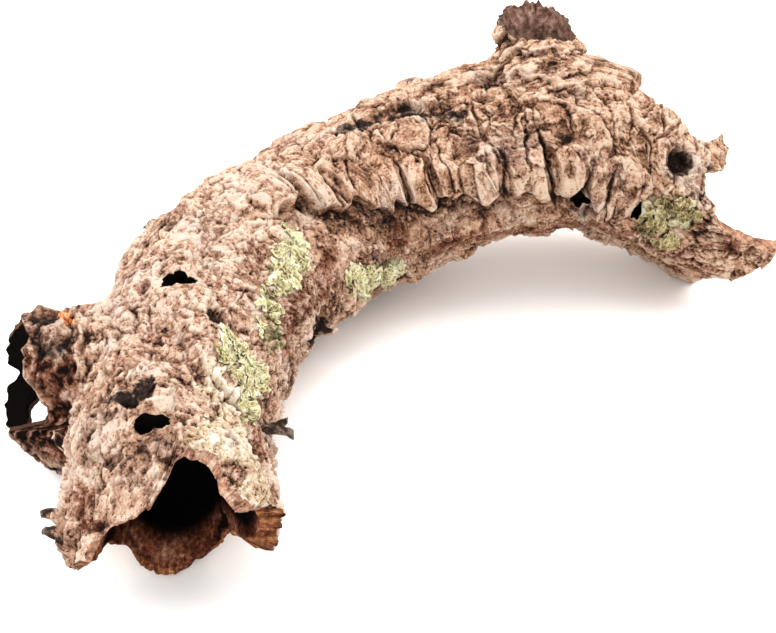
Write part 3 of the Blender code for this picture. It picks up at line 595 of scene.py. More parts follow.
def collar_rings(spec, angle, rows, inside):
    """Rings of a side collar, its outside or the hollow inside it."""
    base, axis, side, up = collar_frame(spec)
    degrees = np.degrees(angle) % 360.0
    edge = jag(spec["edge"], degrees, spec["seed"] + 7, 2.0)
    start = spec["reach"][0][0]
    end = np.full_like(edge, 126.0) if inside else edge
    ray = np.cos(angle)[:, None] * side + np.sin(angle)[:, None] * up

    def ring(t):
        radius = read_off(spec["reach"], t)
        q = np.stack([t, radius * np.cos(angle), radius * np.sin(angle)], -1) + spec["seed"]
        if inside:
            thin = 1.0 - 0.5 * (1.0 - ramp(edge - t, -2, 16))
            ribs = 0.35 * noise(q, (14, 5, 5), 65) + 0.2 * noise(q, 2.4, 66)
            radius = radius - spec["wall"] * thin + 0.8 * noise(q, 16, 61) + ribs
        else:
            bulge = 2.2 * noise(q, 26, 62) + 1.3 * noise(q, 12, 63)
            _, gap, number = plates(q + drift(q, 9, 161, 4, 3, 3.0), (15, 15, 15), 64)
            plate = (number - 0.5) * 2.0 - 1.0 * (1.0 - ramp(gap, 0.0, 0.16))
            radius = radius + (bulge + plate) * ramp(t, 20, 40)
            radius = radius - 1.2 * np.exp(-((edge - t) / 6.0) ** 2)
            bent = q + drift(q, 14, 67, 5, 2, 5.0)
            peel = treads(5.0 * fractal(bent, (8, 18, 18), 85, 4), 0.9, 0.6)
            crumbs = 0.8 * (0.3 - np.abs(crumble(bent, 3.2, 91))) + 0.5 * (0.3 - np.abs(crumble(q, 1.9, 92)))
            thin_rim = 1.0 - 0.4 * np.exp(-((edge - t) / 5.0) ** 2)
            radius = radius + (peel + crumbs) * ramp(t, 20, 32) * thin_rim
        return base + t[:, None] * axis + ray * radius[:, None]

    rings = [ring(start + (end - start) * q) for q in np.linspace(0.0, 1.0, rows)]
    first = base + start * axis
    rings = [first + (rings[0] - first) * f for f in (0.35, 0.7)] + rings
    last = rings[-1] - (base + end[:, None] * axis)
    for f in [0.98 - 0.02 * k for k in range(COLLAR_CAPS - 2)] + [0.55, 0.4]:
        t = end.mean() + (end - end.mean()) * min(1.0, f / 0.62)
        rings.append(base + t[:, None] * axis + last * f)
    return np.array(rings)


def flake_rings(item, index):
    """Thin curled tongue of bark rooted in the wall."""
    turn = full_turn(28)
    rings = []
    for u in np.linspace(0.0, 1.0, 18):
        out = -5.0 + (item[2] + 5.0) * u
        width = item[3] * (1.0 - 0.45 * u * u)
        s = item[0] + width * np.cos(turn) * (1.0 + 0.2 * np.sin(2 * turn + index))
        lift = item[4] * np.sin(turn) + item[5] * u * u
        point = wall_point(s, np.radians(item[1]) + lift / ARC, np.full(len(turn), out))
        crumple = np.stack([noise(point, 3.5, 151 + k) for k in range(3)], -1)
        rings.append(point + crumple * 1.1 * u)
    return np.array(rings)


def hole_rings(item, index):
    """Wavy peg that stands square to the wall, for one hole through it."""
    along, degrees, length, width = item
    turn = full_turn(48)
    wave = 1.0 + 0.16 * np.sin(3 * turn + index) + 0.09 * np.sin(5 * turn + 2 * index)
    shake = min(1.0, 6.0 / length)
    rings = []
    for depth in np.linspace(-24.0, 12.0, 30):
        teeth = 0.05 * np.sin(9 * turn + depth * 0.9) + 0.04 * np.sin(14 * turn - depth * 1.7)
        rough = wave * (1.0 + 0.3 * ramp(depth, -8.0, 6.0) * shake) * (1.0 + shake * teeth)
        s = along + length * rough * np.cos(turn)
        angle = np.radians(degrees) + width * rough * np.sin(turn) / ARC
        rings.append(place(s, angle, np.full(len(turn), depth)))
    return np.array(rings)


def gap_rings():
    """Peg that breaks the gap through the collar's far lower wall."""
    base, axis, side, up = collar_frame(LEFT)
    turn = full_turn(54)
    wave = 1.0 + 0.15 * np.sin(3 * turn) + 0.08 * np.sin(7 * turn)
    reach = COLLAR_GAP[0] + COLLAR_GAP[2] * wave * np.cos(turn) - 3.0 * np.sin(turn)
    angle = np.radians(COLLAR_GAP[1]) + COLLAR_GAP[3] * wave * np.sin(turn) / 46.0
    ray = np.cos(angle)[:, None] * side + np.sin(angle)[:, None] * up
    return np.array([base + reach[:, None] * axis + ray * radius for radius in np.linspace(30.0, 54.0, 12)])


def closed_faces(rings):
    """Points, quads and cap triangles of a closed body from rings of points, faces out."""
    count = rings.shape[1]
    ends = (rings[0].mean(0)[None], rings[-1].mean(0)[None])
    points = np.concatenate([ends[0], rings.reshape(-1, 3), ends[1]])
    j = np.arange(count)
    k = (j + 1) % count
    start = 1 + np.arange(len(rings) - 1)[:, None] * count
    quads = np.stack([start + j, start + k, start + count + k, start + count + j], -1).reshape(-1, 4)
    last = 1 + (len(rings) - 1) * count
    fans = np.concatenate([
        np.stack([np.zeros_like(j), 1 + k, 1 + j], -1),
        np.stack([np.full_like(j, len(points) - 1), last + j, last + k], -1),
    ])
    a, b, c, d = (points[quads[:, n]] for n in range(4))
    e, f, g = (points[fans[:, n]] for n in range(3))
    volume = (np.cross(a, b) * c).sum() + (np.cross(a, c) * d).sum() + (np.cross(e, f) * g).sum()
    if volume < 0:
        quads, fans = quads[:, ::-1], fans[:, ::-1]
    return points, quads, fans


def body(name, rings, bands, ends):
    """One closed mesh object from rings in mm, with the finish of each band of faces and of its end caps."""
    points, quads, fans = closed_faces(rings)
    corners = np.concatenate([quads.ravel(), fans.ravel()])
    sizes = np.concatenate([np.full(len(quads), 4), np.full(len(fans), 3)])
    kinds = np.concatenate([np.repeat(bands, rings.shape[1]), np.full(len(fans), ends)])
    return mesh_object(name, points, corners, sizes, kinds)


def plain_body(name, rings, kind):
    """One closed mesh object that has the same finish all over."""
    return body(name, rings, np.full(len(rings) - 1, kind), kind)


def mesh_object(name, points, corners, sizes, kinds):
    """Mesh object from points in mm of the drawing, with the corners of its faces one after another."""
    mesh = bpy.data.meshes.new(name)
    mesh.vertices.add(len(points))
    mesh.vertices.foreach_set("co", ((points - np.array(SHIFT)) * MM).astype(np.float32).ravel())
    mesh.loops.add(len(corners))
    mesh.loops.foreach_set("vertex_index", corners.astype(np.int32))
    mesh.polygons.add(len(sizes))
    mesh.polygons.foreach_set("loop_start", (np.cumsum(sizes) - sizes).astype(np.int32))
    mesh.polygons.foreach_set("material_index", kinds.astype(np.int32))
    mesh.update(calc_edges=True)
    obj = bpy.data.objects.new(name, mesh)
    bpy.context.scene.collection.objects.link(obj)
    return obj


def combine(obj, other, how):
    """Join or cut with another closed body, which is used up."""
    step = obj.modifiers.new(how, "BOOLEAN")
    step.operation = how
    step.solver = "MANIFOLD"
    step.object = other
    view = bpy.context.evaluated_depsgraph_get()
    view.update()
    mesh = bpy.data.meshes.new_from_object(obj.evaluated_get(view))
    obj.modifiers.clear()
    obj.data = mesh
    bpy.data.objects.remove(other, do_unlink=True)


def closer_angles(count):
    """Angles round the tube, closer together on its upper and inner side."""
    turn = np.linspace(-np.pi, np.pi, 2001)
    dense = 1.0 + 1.1 * ramp(np.degrees(turn), -75, -45) * (1.0 - ramp(np.degrees(turn), 130, 165))
    share = np.concatenate([[0.0], np.cumsum((dense[1:] + dense[:-1]) * 0.5)])
    return np.interp(np.arange(count) / count, share / share[-1], turn)


def dense(grid):
    """Rows and columns of a grid at the density of this run."""
    return [int(count * DETAIL) for count in grid]


def build_outside():
    """Outside of the tube with its two torn ends, joined with the collars and the flakes."""
    rows, columns = dense(OUTER_GRID)
    angle = closer_angles(columns)
    degrees = np.degrees(angle)
    low = -jag(NEAR_EDGE, degrees, 71, 2.2)
    high = LENGTH + jag(FAR_EDGE, degrees, 81, 2.6)
    caps = [0.985 - 0.0125 * k for k in range(24)] + [0.66, 0.55, 0.45]
    rings = tube_rings(outer_point, low, high, angle, rows, caps, 0.5)
    bands = np.full(len(rings) - 1, SKIN)
    bands[:len(caps)] = TORN
    bands[-len(caps):] = TORN
    bark = body("bark", rings, bands, TORN)
    grown = None
    for spec in (LEFT, TOP):
        rows, columns = dense(COLLAR_GRID)
        rings = collar_rings(spec, full_turn(columns), rows, False)
        bands = np.full(len(rings) - 1, SKIN)
        bands[-COLLAR_CAPS:] = TORN
        collar = body("collar", rings, bands, TORN)
        if grown is None:
            grown = collar
        else:
            combine(grown, collar, "UNION")
    for index, item in enumerate(FLAKES):
        combine(grown, plain_body("flake", flake_rings(item, index), SKIN), "UNION")
    combine(bark, grown, "UNION")
    return bark


def build_hollow():
    """Everything that is cut out of the bark: the hollow tube, the collars' hollows, holes, notch and gap."""
    rows, columns = dense(HOLLOW_GRID)
    low, high = np.full(columns, -62.0), np.full(columns, LENGTH + 40.0)
    rings = tube_rings(inner_point, low, high, full_turn(columns), rows, (0.6,), 0.0)
    hollow = plain_body("hollow", rings, INSIDE)
    rows, columns = dense(COLLAR_HOLLOW_GRID)
    cuts = [(collar_rings(spec, full_turn(columns), rows, True), INSIDE) for spec in (LEFT, TOP)]
    cuts += [(hole_rings(item, index), INSIDE) for index, item in enumerate(HOLES)]
    cuts += [(hole_rings(NOTCH, len(HOLES)), TORN), (gap_rings(), TORN)]
    for rings, kind in cuts:
        combine(hollow, plain_body("cut", rings, kind), "UNION")
    return hollow


def build_bark():
    """The whole bark at full fineness, cut flat where it rests on the floor."""
    bark = build_outside()
    combine(bark, build_hollow(), "DIFFERENCE")
    half, deep = 400.0, 60.0
    square = ((-half, -half), (half, -half), (half, half), (-half, half))
    block = np.array([[(x, y, z) for x, y in square] for z in (-deep, 0.0)]) + np.array(SHIFT) * (1, 1, 0)
    combine(bark, plain_body("ground", block, SKIN), "DIFFERENCE")
    return bark


def pull(rows, name, width, kind):
    """Values that every row of a mesh holds under a name, as an array."""
    found = np.empty(len(rows) * width, kind)
    rows.foreach_get(name, found)
    return found.reshape(-1, width) if width > 1 else found


def read_mesh(mesh):
    """Points in mm of the drawing, triangles, each triangle's finish, edges and point normals."""
    mesh.calc_loop_triangles()
    points = pull(mesh.vertices, "co", 3, np.float32).astype(float) / MM + np.array(SHIFT)
    triangles = pull(mesh.loop_triangles, "vertices", 3, np.int32)
    kinds = pull(mesh.polygons, "material_index", 1, np.int32)
    owners = pull(mesh.loop_triangles, "polygon_index", 1, np.int32)
    edges = pull(mesh.edges, "vertices", 2, np.int32)
    normals = pull(mesh.vertex_normals, "vector", 3, np.float32).astype(float)
    return points, triangles, kinds[owners], edges, normals


def smooth(values, edges, rounds):
    """Values at points, averaged with their neighbours several times."""
    count = len(values)
    share = np.bincount(edges.ravel(), minlength=count).astype(float)
    share[share == 0] = 1.0
    columns = values.reshape(count, -1)
    result = columns.copy()
    for _ in range(rounds):
        near = np.stack([
            np.bincount(edges[:, 0], weights=result[edges[:, 1], k], minlength=count)
            + np.bincount(edges[:, 1], weights=result[edges[:, 0], k], minlength=count)
            for k in range(columns.shape[1])], -1)
        result = 0.35 * result + 0.65 * near / share[:, None]
    return result.reshape(values.shape)


def straightened(points):
    """Points laid out along a straight tube: distance along it, then across its round section, in mm."""
    result = np.empty_like(points)
    for start in range(0, len(points), 40000):
        part = points[start:start + 40000]
        apart = (TRACK[:, :3] ** 2).sum(1)[None] - 2.0 * part @ TRACK[:, :3].T
        rough = ALONG[np.argmin(apart, 1)]
        middle, _, side, up = spot(rough)
        s = rough + ((part - middle) * np.cross(up, side)).sum(1)
        middle, _, side, up = spot(s)
        angle = np.arctan2(((part - middle) * up).sum(1), ((part - middle) * side).sum(1))
        result[start:start + 40000] = laid_out(s, angle)
    return result


def wall_spots(rows):
    """Middle points and radii of round spots on the tube's wall, some of them lifted off it."""
    found = []
    for s, degrees, radius, *lift in rows:
        off_wall = np.array([float(sum(lift))])
        centre = wall_point(np.array([float(s)]), np.array([math.radians(degrees)]), off_wall)
        found.append((centre[0], radius))
    return found


def collar_spots(spec, rows):
    """Middle points and radii of round spots on a collar."""
    base, axis, side, up = collar_frame(spec)
    found = []
    for reach, degrees, radius in rows:
        out = read_off(spec["reach"], reach)
        turn = math.radians(degrees)
        found.append((base + reach * axis + out * (math.cos(turn) * side + math.sin(turn) * up), radius))
    return found


def stain(points, spots, seed):
    """How strongly round spots colour each point, with frayed borders."""
    warp = 9.0 * fractal(points, 15, seed, 5, 0.65)
    total = np.zeros(len(points))
    for centre, radius in spots:
        distance = np.linalg.norm(points - centre, axis=1) + warp * min(1.0, radius / 13.0)
        total = np.maximum(total, 1.0 - ramp(distance, radius * 0.55, radius * 1.1))
    return total


def add_mark(obj, name, values):
    """Keep one value for each point of a piece, for its finish to read."""
    layer = obj.data.attributes.new(name, "FLOAT", "POINT")
    layer.data.foreach_set("value", values.astype(np.float32))


def point_marks(points, edges, normals, straight):
    """What the finishes read at each point: painted shade in creases, recesses, under the shelf and deep
    inside the tube, stains, and places on it.
    """
    soft = smooth(points, edges, 5)
    softer = smooth(soft, edges, 40)
    fine = ((points - soft) * normals).sum(1)
    broad = ((soft - softer) * normals).sum(1)
    collar_char_and_shade = collar_spots(LEFT, LEFT_CHAR_AND_SHADE) + collar_spots(TOP, TOP_CHAR)
    marks = {
        # Painted shade: points that sink below their close neighbours read high and are darkened as shade in
        # creases, sharp ridges read low and come out paler
        "crease_shade": np.clip(0.5 - (fine - np.clip(fine, -0.12, 0.12)) * 1.5, 0.0, 1.0),
        # Painted shade: points that sink below the broad shape around them read high and are darkened as
        # shade in recesses, bulges read low and come out paler
        "hollow": np.clip(0.5 - broad * 0.36, 0.0, 1.0),
        "cream": stain(points, wall_spots(CREAM), 501),
        "char_and_shade": stain(points, wall_spots(CHAR_AND_SHADE) + collar_char_and_shade, 511),
        "rust": stain(points, wall_spots(RUST) + collar_spots(LEFT, LEFT_RUST), 521),
        "moss": stain(points, wall_spots(MOSS), 531),
        "orange": stain(points, collar_spots(LEFT, LEFT_ORANGE), 541),
    }
    burnt_and_hole_shade = stain(points, wall_spots(BURNT_AND_HOLE_SHADE), 512)
    # Char spots grow darker in broad recesses, which paints shade into them
    marks["char_and_shade"] = np.maximum(marks["char_and_shade"] * np.clip(0.45 + marks["hollow"] * 1.1, 0.0, 1.2), burnt_and_hole_shade)
    along = straight[:, 0]
    degrees = np.degrees(np.arctan2(straight[:, 2], straight[:, 1]))
    turn = degrees % 360.0
    upward = np.sin(np.radians(degrees))
    near_gap, far_gap = edge_gaps(along, degrees)
    marks["far"] = ramp(along, 150, 300)
    under = ramp(-upward, 0.2, 0.9)
    # Painted shade: deep is 0 near the broken ends and 1 further inside the tube, where the inner wall is
    # painted black
    deep = ramp(near_gap, 2 + 2 * under, 12 + 9 * under) * ramp(far_gap, 3, 30)
    for spec, low, high in ((LEFT, -12, -2), (TOP, 24, 56)):
        base, axis, side, up = collar_frame(spec)
        away = points - base
        reach = away @ axis
        across, above = away @ side, away @ up
        edge = lookup(spec["edge"], np.degrees(np.arctan2(above, across)))
        within = (np.hypot(across, above) < 50) & (reach > 50)
        # Painted shade: inside a collar the wall turns black further in from its torn rim
        deep = np.where(within, ramp(edge - reach, low, high), deep)
        if spec is LEFT:
            marks["burl"] = within * ramp(reach, 50, 60)
    marks["crown"] = within.astype(float)
    marks["deep"] = deep
    above, strength = shelf(along, degrees)
    # Painted shade in the band just under the shelf's overhanging lip
    marks["under_ledge_shade"] = strength * ramp(above, -17, -6) * (1.0 - ramp(above, -3.5, -0.5))
    bright = ramp(along, 75, 150) * (0.7 + 0.3 * ramp(along, 200, 250)) * (1.0 - ramp(along, 290, 330))
    bright = bright * ramp(turn - 36.0 * ramp(along, 230, 275), 28, 46) * (1.0 - ramp(turn, 100, 135))
    marks["bright"] = bright + 0.5 * ramp(along, 435, 475) * ramp(turn, 8, 25) * (1.0 - ramp(turn, 100, 135))
    marks["lip"] = ramp(upward, 0.15, 0.55) * (1.0 - ramp(along, 40, 70)) + 0.6 * ramp(along, 200, 300)
    return marks


def split_bark(bark):
    """The finished bark as pieces of a size that loads well, with what their finishes read at each point."""
    materials = (finish_skin(), finish_torn(), finish_inside())
    points, triangles, kinds, edges, normals = read_mesh(bark.data)
    straight = straightened(points)
    marks = point_marks(points, edges, normals, straight)
    middle = straight[:, 0][triangles].mean(1)
    count = max(1, math.ceil(len(triangles) / MOST_TRIANGLES))
    cuts = np.quantile(middle, np.linspace(0.0, 1.0, count + 1))
    cuts[-1] += 1.0
    for index in range(count):
        mine = (middle >= cuts[index]) & (middle < cuts[index + 1])
        used, corners = np.unique(triangles[mine].ravel(), return_inverse=True)
        sizes = np.full(mine.sum(), 3)
        obj = mesh_object("bark_%d" % (index + 1), points[used], corners, sizes, kinds[mine])
        obj.data.polygons.foreach_set("use_smooth", np.ones(len(sizes), bool))
        obj.data.normals_split_custom_set_from_vertices(normals[used].tolist())
        for name, values in marks.items():
            add_mark(obj, name, values[used])
        layer = obj.data.attributes.new("straight", "FLOAT_VECTOR", "POINT")
        layer.data.foreach_set("vector", straight[used].astype(np.float32).ravel())
        for material in materials:
            obj.data.materials.append(material)
        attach(obj, "root")
        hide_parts("cork_bark")
    bpy.data.objects.remove(bark, do_unlink=True)


def lobe_places(name, pads, seed):
    """Places, sizes, heights, turns and tints of a lichen patch's lobes, thinned where bark shows between."""
    count = int((620 if name == "lichen_bend" else 400) * max(DETAIL, 0.6))
    pick = np.random.default_rng(seed)
    rows = np.array(pads, float)
    share = rows[:, 2] * rows[:, 3]
    along, degrees, length, width = rows[pick.choice(len(rows), count, p=share / share.sum())].T
    reach = np.sqrt(pick.random(count)) * 1.02
    turn = pick.random(count) * 2.0 * np.pi
    lobes = reach * (1.0 + 0.13 * np.sin(5 * turn) + 0.08 * np.sin(9 * turn))
    s = along + length * lobes * np.cos(turn)
    angle = np.radians(degrees) + width * lobes * np.sin(turn) / ARC
    sparse = 0.14 * (s < 172) * (name == "lichen_bend") + 0.17 * (name == "lichen_far")
    kept = fractal(laid_out(s, angle, ARC), 5.5, 171 + seed, 4) > 0.08 + sparse
    s, angle, reach = s[kept], angle[kept], reach[kept]
    count = len(s)
    size = 1.5 + 3.0 * pick.random(count) ** 1.6
    height = 0.5 + 1.3 * pick.random(count) * (1.0 - 0.5 * reach)
    phase = pick.random(count) * 6.3
    heading = pick.random(count) * 6.3
    tint = pick.random(count)
    return s, angle, size, height, phase, heading, tint


def lichen_lobes(name, pads, seed, material):
    """One patch of leafy lichen: small thin lobes with raised rims, laid over each other."""
    *columns, tint = lobe_places(name, pads, seed)
    s0, a0, size, height, phase, heading = (column[:, None] for column in columns)
    count = len(tint)
    around = 14
    steps = (("top", 0.0001), ("top", 0.5), ("top", 0.82), ("top", 1.0), ("under", 0.94), ("under", 0.3))
    theta = full_turn(around)[None]
    edge = 1.0 + 0.3 * np.sin(3 * theta + phase) + 0.2 * np.sin(5 * theta + 2 * phase)
    tilt = 0.3 * np.cos(theta - heading)
    layers = []
    for side, f in steps:
        s = s0 + size * edge * f * np.cos(theta)
        angle = a0 + size * edge * f * np.sin(theta) / ARC
        skin = outer_point(s, angle)
        out = unit(skin - spot(s)[0])
        curl = f * f * (0.4 + tilt) * size * 0.25 + 0.25 * np.sin(4 * theta + phase) * f
        up = height + curl + 0.3 * crumble(skin, 1.7, 181) - (0.6 if side == "under" else 0.0)
        layers.append(skin + out * up[..., None])
    grid = np.stack(layers, 1)
    rings = grid.shape[1]
    index = np.arange(count * rings * around).reshape(count, rings, around)
    next_one = np.roll(index, -1, 2)
    quads = np.stack([index[:, :-1], index[:, 1:], next_one[:, 1:], next_one[:, :-1]], -1).reshape(-1, 4)
    sizes = np.full(len(quads), 4)
    obj = mesh_object(name + "_lobes", grid.reshape(-1, 3), quads.ravel(), sizes, np.zeros(len(quads)))
    obj.data.polygons.foreach_set("use_smooth", np.ones(len(quads), bool))
    add_mark(obj, "rim", np.tile(np.repeat([f for _, f in steps], around), count))
    add_mark(obj, "under", np.tile(np.repeat([float(side == "under") for side, _ in steps], around), count))
    add_mark(obj, "tint", np.repeat(tint, rings * around))
    obj.data.materials.append(material)
    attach(obj, "root")
    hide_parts(name)


def colour(text):
    """Linear colour from an sRGB hex value."""
    parts = [int(text[k:k + 2], 16) / 255.0 for k in (0, 2, 4)]
    return (*[c / 12.92 if c <= 0.04045 else ((c + 0.055) / 1.055) ** 2.4 for c in parts], 1.0)


def node(tree, kind, settings, links=()):
    """Add one node with its own settings and plain input values, and link sockets into its inputs."""
    made = tree.nodes.new(kind)
    for key, value in settings.items():
        if isinstance(key, str) and hasattr(made, key):
            setattr(made, key, value)
        else:
            made.inputs[key].default_value = value
    for key, socket in links:
        tree.links.new(socket, made.inputs[key])
    return made


def blend(tree, share, first, second):
    """Colour of the first socket with a share of the second one, which may also be a plain colour."""
    plain = {7: second} if isinstance(second, tuple) else {}
    links = [(0, share), (6, first)] + ([] if plain else [(7, second)])
    return node(tree, "ShaderNodeMix", {"data_type": "RGBA", **plain}, links).outputs[2]


def start_material(name):
    """New material with its tree, its shader and the place of each point in mm."""
    material = bpy.data.materials.new(name)
    material.use_nodes = True
    tree = material.node_tree
    shader = tree.nodes["Principled BSDF"]
    where = node(tree, "ShaderNodeTexCoord", {}).outputs["Object"]
    scaled = node(tree, "ShaderNodeVectorMath", {"operation": "SCALE", "Scale": 1.0 / MM}, [(0, where)])
    return material, tree, shader, scaled.outputs[0]


def spread(tree, value, low, high):
    """Share from 0 to 1 that a value has reached between low and high."""
    made = node(tree, "ShaderNodeMapRange", {"From Min": low, "From Max": high}, [("Value", value)])
    return made.outputs["Result"]


def patches(tree, where, size, low, high, detail=4.0, rough=0.6, stretch=(1.0, 1.0, 1.0)):
    """Share from 0 to 1 in cloudy patches of a size in mm, longer where stretch is over 1."""
    scaled = node(tree, "ShaderNodeVectorMath", {"operation": "DIVIDE", 1: stretch}, [(0, where)]).outputs[0]
    settings = {"Scale": 1.0 / size, "Detail": detail, "Roughness": rough}
    cloud = node(tree, "ShaderNodeTexNoise", settings, [("Vector", scaled)])
    return spread(tree, cloud.outputs["Fac"], low, high)


def mark(tree, name, low=0.0, high=1.0):
    """Share from 0 to 1 read from what the mesh holds at each point."""
    found = node(tree, "ShaderNodeAttribute", {"attribute_name": name})
    return spread(tree, found.outputs["Fac"], low, high)


def sums(tree, terms):
    """Sum of sockets, each times its own plain number."""
    so_far = []
    for socket, share in terms:
        settings = {"operation": "MULTIPLY_ADD", 1: share, 2: 0.0}
        total = node(tree, "ShaderNodeMath", settings, [(0, socket)] + so_far).outputs[0]
        so_far = [(2, total)]
    return total


def tones(tree, value, low, high, stops):
    """Colour read along a row of tones from a value that runs from low to high."""
    made = node(tree, "ShaderNodeValToRGB", {}, [(0, spread(tree, value, low, high))])
    row = made.color_ramp.elements
    for place_in_row, stop in enumerate(stops.split(", ")):
        percent, text = stop.split(" ")
        element = row[place_in_row] if place_in_row < len(row) else row.new(1.0)
        element.position = int(percent) / 100.0
        element.color = colour(text)
    return made.outputs["Color"]


def finish_surface(tree, shader, base, height, depth, rough, shine=0.12):
    """Link colour and fine relief of a given depth in mm into the shader."""
    tree.links.new(base, shader.inputs["Base Color"])
    shader.inputs["Roughness"].default_value = rough
    shader.inputs["Specular IOR Level"].default_value = shine
    bump = node(tree, "ShaderNodeBump", {"Strength": 1.0, "Distance": depth * MM}, [("Height", height)])
    tree.links.new(bump.outputs["Normal"], shader.inputs["Normal"])


def straight_place(tree):
    """Place of each point on the tube laid out straight, in mm."""
    return node(tree, "ShaderNodeAttribute", {"attribute_name": "straight"}).outputs["Vector"]


def finish_skin():
    """Weathered cork bark: dull and dry, grey-pink on its ridges, dark brown in its cracks, with painted
    shade in its creases, recesses and under the shelf's lip.
    """
    material, tree, shader, where = start_material("weathered cork bark")
    grain = patches(tree, where, 1.7, 0.28, 0.72, 6.0, 0.75)
    flecks = patches(tree, where, 7.0, 0.32, 0.68, 6.0, 0.65)
    lines = patches(tree, straight_place(tree), 1.7, 0.25, 0.75, 4.0, 0.6, (14.0, 1.0, 1.0))
    far = mark(tree, "far")
    striped = node(tree, "ShaderNodeMath", {"operation": "MULTIPLY"}, [(0, lines), (1, far)]).outputs[0]
    pores = patches(tree, where, 1.3, 0.6, 0.68, 2.0, 0.5)
    chips = patches(tree, where, 2.1, 0.62, 0.7, 3.0, 0.6)
    tone = sums(tree, [
        (grain, 0.29), (flecks, 0.27), (striped, 0.1), (mark(tree, "far", 1.0, 0.0), 0.06), (pores, -0.24),
        # Painted shade: the crease and hollow terms darken creases and broad recesses and lighten ridges and
        # bulges
        (chips, 0.13), (mark(tree, "crease_shade", 1.0, 0.0), 0.26), (mark(tree, "hollow", 1.0, 0.0), 0.32),
        # Painted shade: darker just under the shelf's lip
        (patches(tree, where, 18, 0.38, 0.62, 5.0, 0.6), 0.24), (mark(tree, "under_ledge_shade"), -0.12),
        (mark(tree, "bright"), 0.12), (mark(tree, "burl"), -0.1)])
    shares = {
        "far": far,
        "grey": patches(tree, where, 34, 0.5, 0.8, 5.0, 0.6),
        "cream": mark(tree, "cream", 0.0, 0.6),
        "burl": mark(tree, "burl"),
        "rust": mark(tree, "rust", 0.1, 0.75),
        "moss": mark(tree, "moss", 0.3, 1.1),
        "orange": mark(tree, "orange", 0.1, 0.8),
        "char_and_shade": mark(tree, "char_and_shade", 0.15, 0.7),
    }
    base = tones(tree, tone, DARKEST, PALEST, BARK_TONES["plain"])
    for name, share in shares.items():
        base = blend(tree, share, base, tones(tree, tone, DARKEST, PALEST, BARK_TONES[name]))
    height = sums(tree, [(grain, 0.5), (flecks, 0.35), (striped, 0.3), (pores, -0.3), (chips, 0.3)])
    finish_surface(tree, shader, base, height, 1.8, 0.92)
    return material


def finish_torn():
    """Torn cork edge: fresh orange-brown cork in thin layers, where the bark broke."""
    material, tree, shader, where = start_material("torn cork edge")
    grain = patches(tree, where, 2.6, 0.25, 0.75, 6.0, 0.7)
    strata = patches(tree, straight_place(tree), 1.6, 0.3, 0.7, 4.0, 0.6, (9.0, 1.0, 1.0))
    tone = sums(tree, [(grain, 0.45), (strata, 0.3), (patches(tree, where, 14, 0.35, 0.65), 0.25)])
    base = tones(tree, tone, 0.25, 0.8, TORN_TONES)
    base = blend(tree, mark(tree, "lip", 0.0, 1.1), base, tones(tree, tone, 0.25, 0.75, LIP_TONES))
    base = blend(tree, mark(tree, "crown", 0.0, 1.25), base, colour("33221B"))
    base = blend(tree, mark(tree, "burl", 0.0, 1.25), base, colour("3A241A"))
    base = blend(tree, mark(tree, "char_and_shade", 0.2, 0.8), base, colour("211A18"))
    finish_surface(tree, shader, base, tone, 1.8, 0.9)
    return material


def finish_inside():
    """Inner cork wall: red-brown, ribbed lengthwise, with painted shade in its creases and painted black
    shade deep inside.
    """
    material, tree, shader, where = start_material("inner cork wall")
    ribs = patches(tree, straight_place(tree), 2.6, 0.3, 0.7, 5.0, 0.7, (4.0, 1.0, 1.0))
    crumbs = patches(tree, where, 2.2, 0.3, 0.7, 5.0, 0.7)
    tone = sums(tree, [(ribs, 0.35), (crumbs, 0.4), (patches(tree, where, 18, 0.35, 0.65), 0.25)])
    base = tones(tree, tone, 0.2, 0.8, INSIDE_TONES)
    crown = tones(tree, patches(tree, where, 5, 0.28, 0.72, 6.0, 0.65), 0.0, 1.0, CROWN_TONES)
    base = blend(tree, mark(tree, "crown"), base, crown)
    # Painted shade in the creases of the inner wall
    base = blend(tree, mark(tree, "crease_shade", 0.55, 0.95), base, colour("1A0F0B"))
    # Painted shade: black deep inside the tube and the collars
    base = blend(tree, mark(tree, "deep"), base, colour("0A0605"))
    finish_surface(tree, shader, base, tone, 1.6, 0.95, 0.03)
    return material


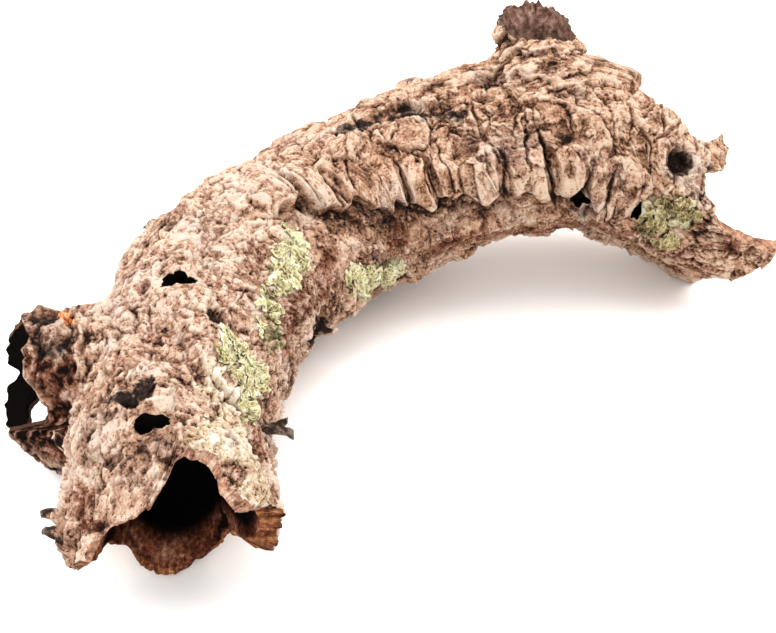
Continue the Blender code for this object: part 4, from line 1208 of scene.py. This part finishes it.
def finish_lichen(title, stops):
    """Leafy lichen: chalky, lighter on its raised rims and brown underneath."""
    material, tree, shader, where = start_material(title)
    grain = patches(tree, where, 1.6, 0.3, 0.7, 5.0, 0.7)
    tone = sums(tree, [
        (grain, 0.4), (mark(tree, "tint"), 0.25), (patches(tree, where, 9, 0.35, 0.65), 0.2),
        (mark(tree, "rim", 0.5, 1.1), 0.3)])
    base = tones(tree, tone, 0.2, 0.85, stops)
    base = blend(tree, mark(tree, "under", 0.3, 1.0), base, colour("6A5A40"))
    finish_surface(tree, shader, base, grain, 0.5, 0.95)
    return material


def set_stage():
    """Plain pale floor, soft light from above and behind, and the camera at the photograph's angle."""
    bpy.ops.mesh.primitive_plane_add(size=12.0, location=(0.0, 0.0, 0.0))
    floor = bpy.context.object
    floor.name = "studio_floor"
    paper = bpy.data.materials.new("matt studio paper")
    paper.use_nodes = True
    shader = paper.node_tree.nodes["Principled BSDF"]
    shader.inputs["Base Color"].default_value = colour("FAF8F6")
    shader.inputs["Roughness"].default_value = 0.9
    floor.data.materials.append(paper)
    for name, place_at, size, power, aim in LAMPS:
        lamp = bpy.data.lights.new(name, "AREA")
        lamp.energy = power
        lamp.size = size
        obj = bpy.data.objects.new(name, lamp)
        bpy.context.scene.collection.objects.link(obj)
        obj.location = place_at
        away = np.array(place_at) - np.array(aim)
        flat = math.hypot(away[0], away[1])
        obj.rotation_euler = (math.atan2(flat, away[2]), 0.0, math.atan2(away[0], -away[1]))
    world = bpy.data.worlds.new("studio_air")
    world.use_nodes = True
    air = world.node_tree.nodes["Background"].inputs
    air["Color"].default_value = (1.0, 0.985, 0.97, 1.0)
    air["Strength"].default_value = 1.6
    bpy.context.scene.world = world
    camera = bpy.data.cameras.new("camera")
    camera.sensor_width = SENSOR
    camera.lens = CAMERA_LENS * SENSOR
    camera.clip_end = 50.0
    view = bpy.data.objects.new("camera", camera)
    bpy.context.scene.collection.objects.link(view)
    view.location = CAMERA_PLACE
    view.rotation_euler = (math.radians(90.0 - CAMERA_SLANT), 0.0, 0.0)
    bpy.context.scene.camera = view
    bpy.context.scene.view_settings.view_transform = "Standard"


split_bark(build_bark())
pale_lichen = finish_lichen("dry leafy lichen", PALE_LICHEN)
dark_lichen = finish_lichen("mossy leafy lichen", DARK_LICHEN)
for seed, (name, pads) in enumerate(LICHEN.items()):
    lichen_lobes(name, pads, 700 + seed, dark_lichen if name == "lichen_far" else pale_lichen)
set_stage()
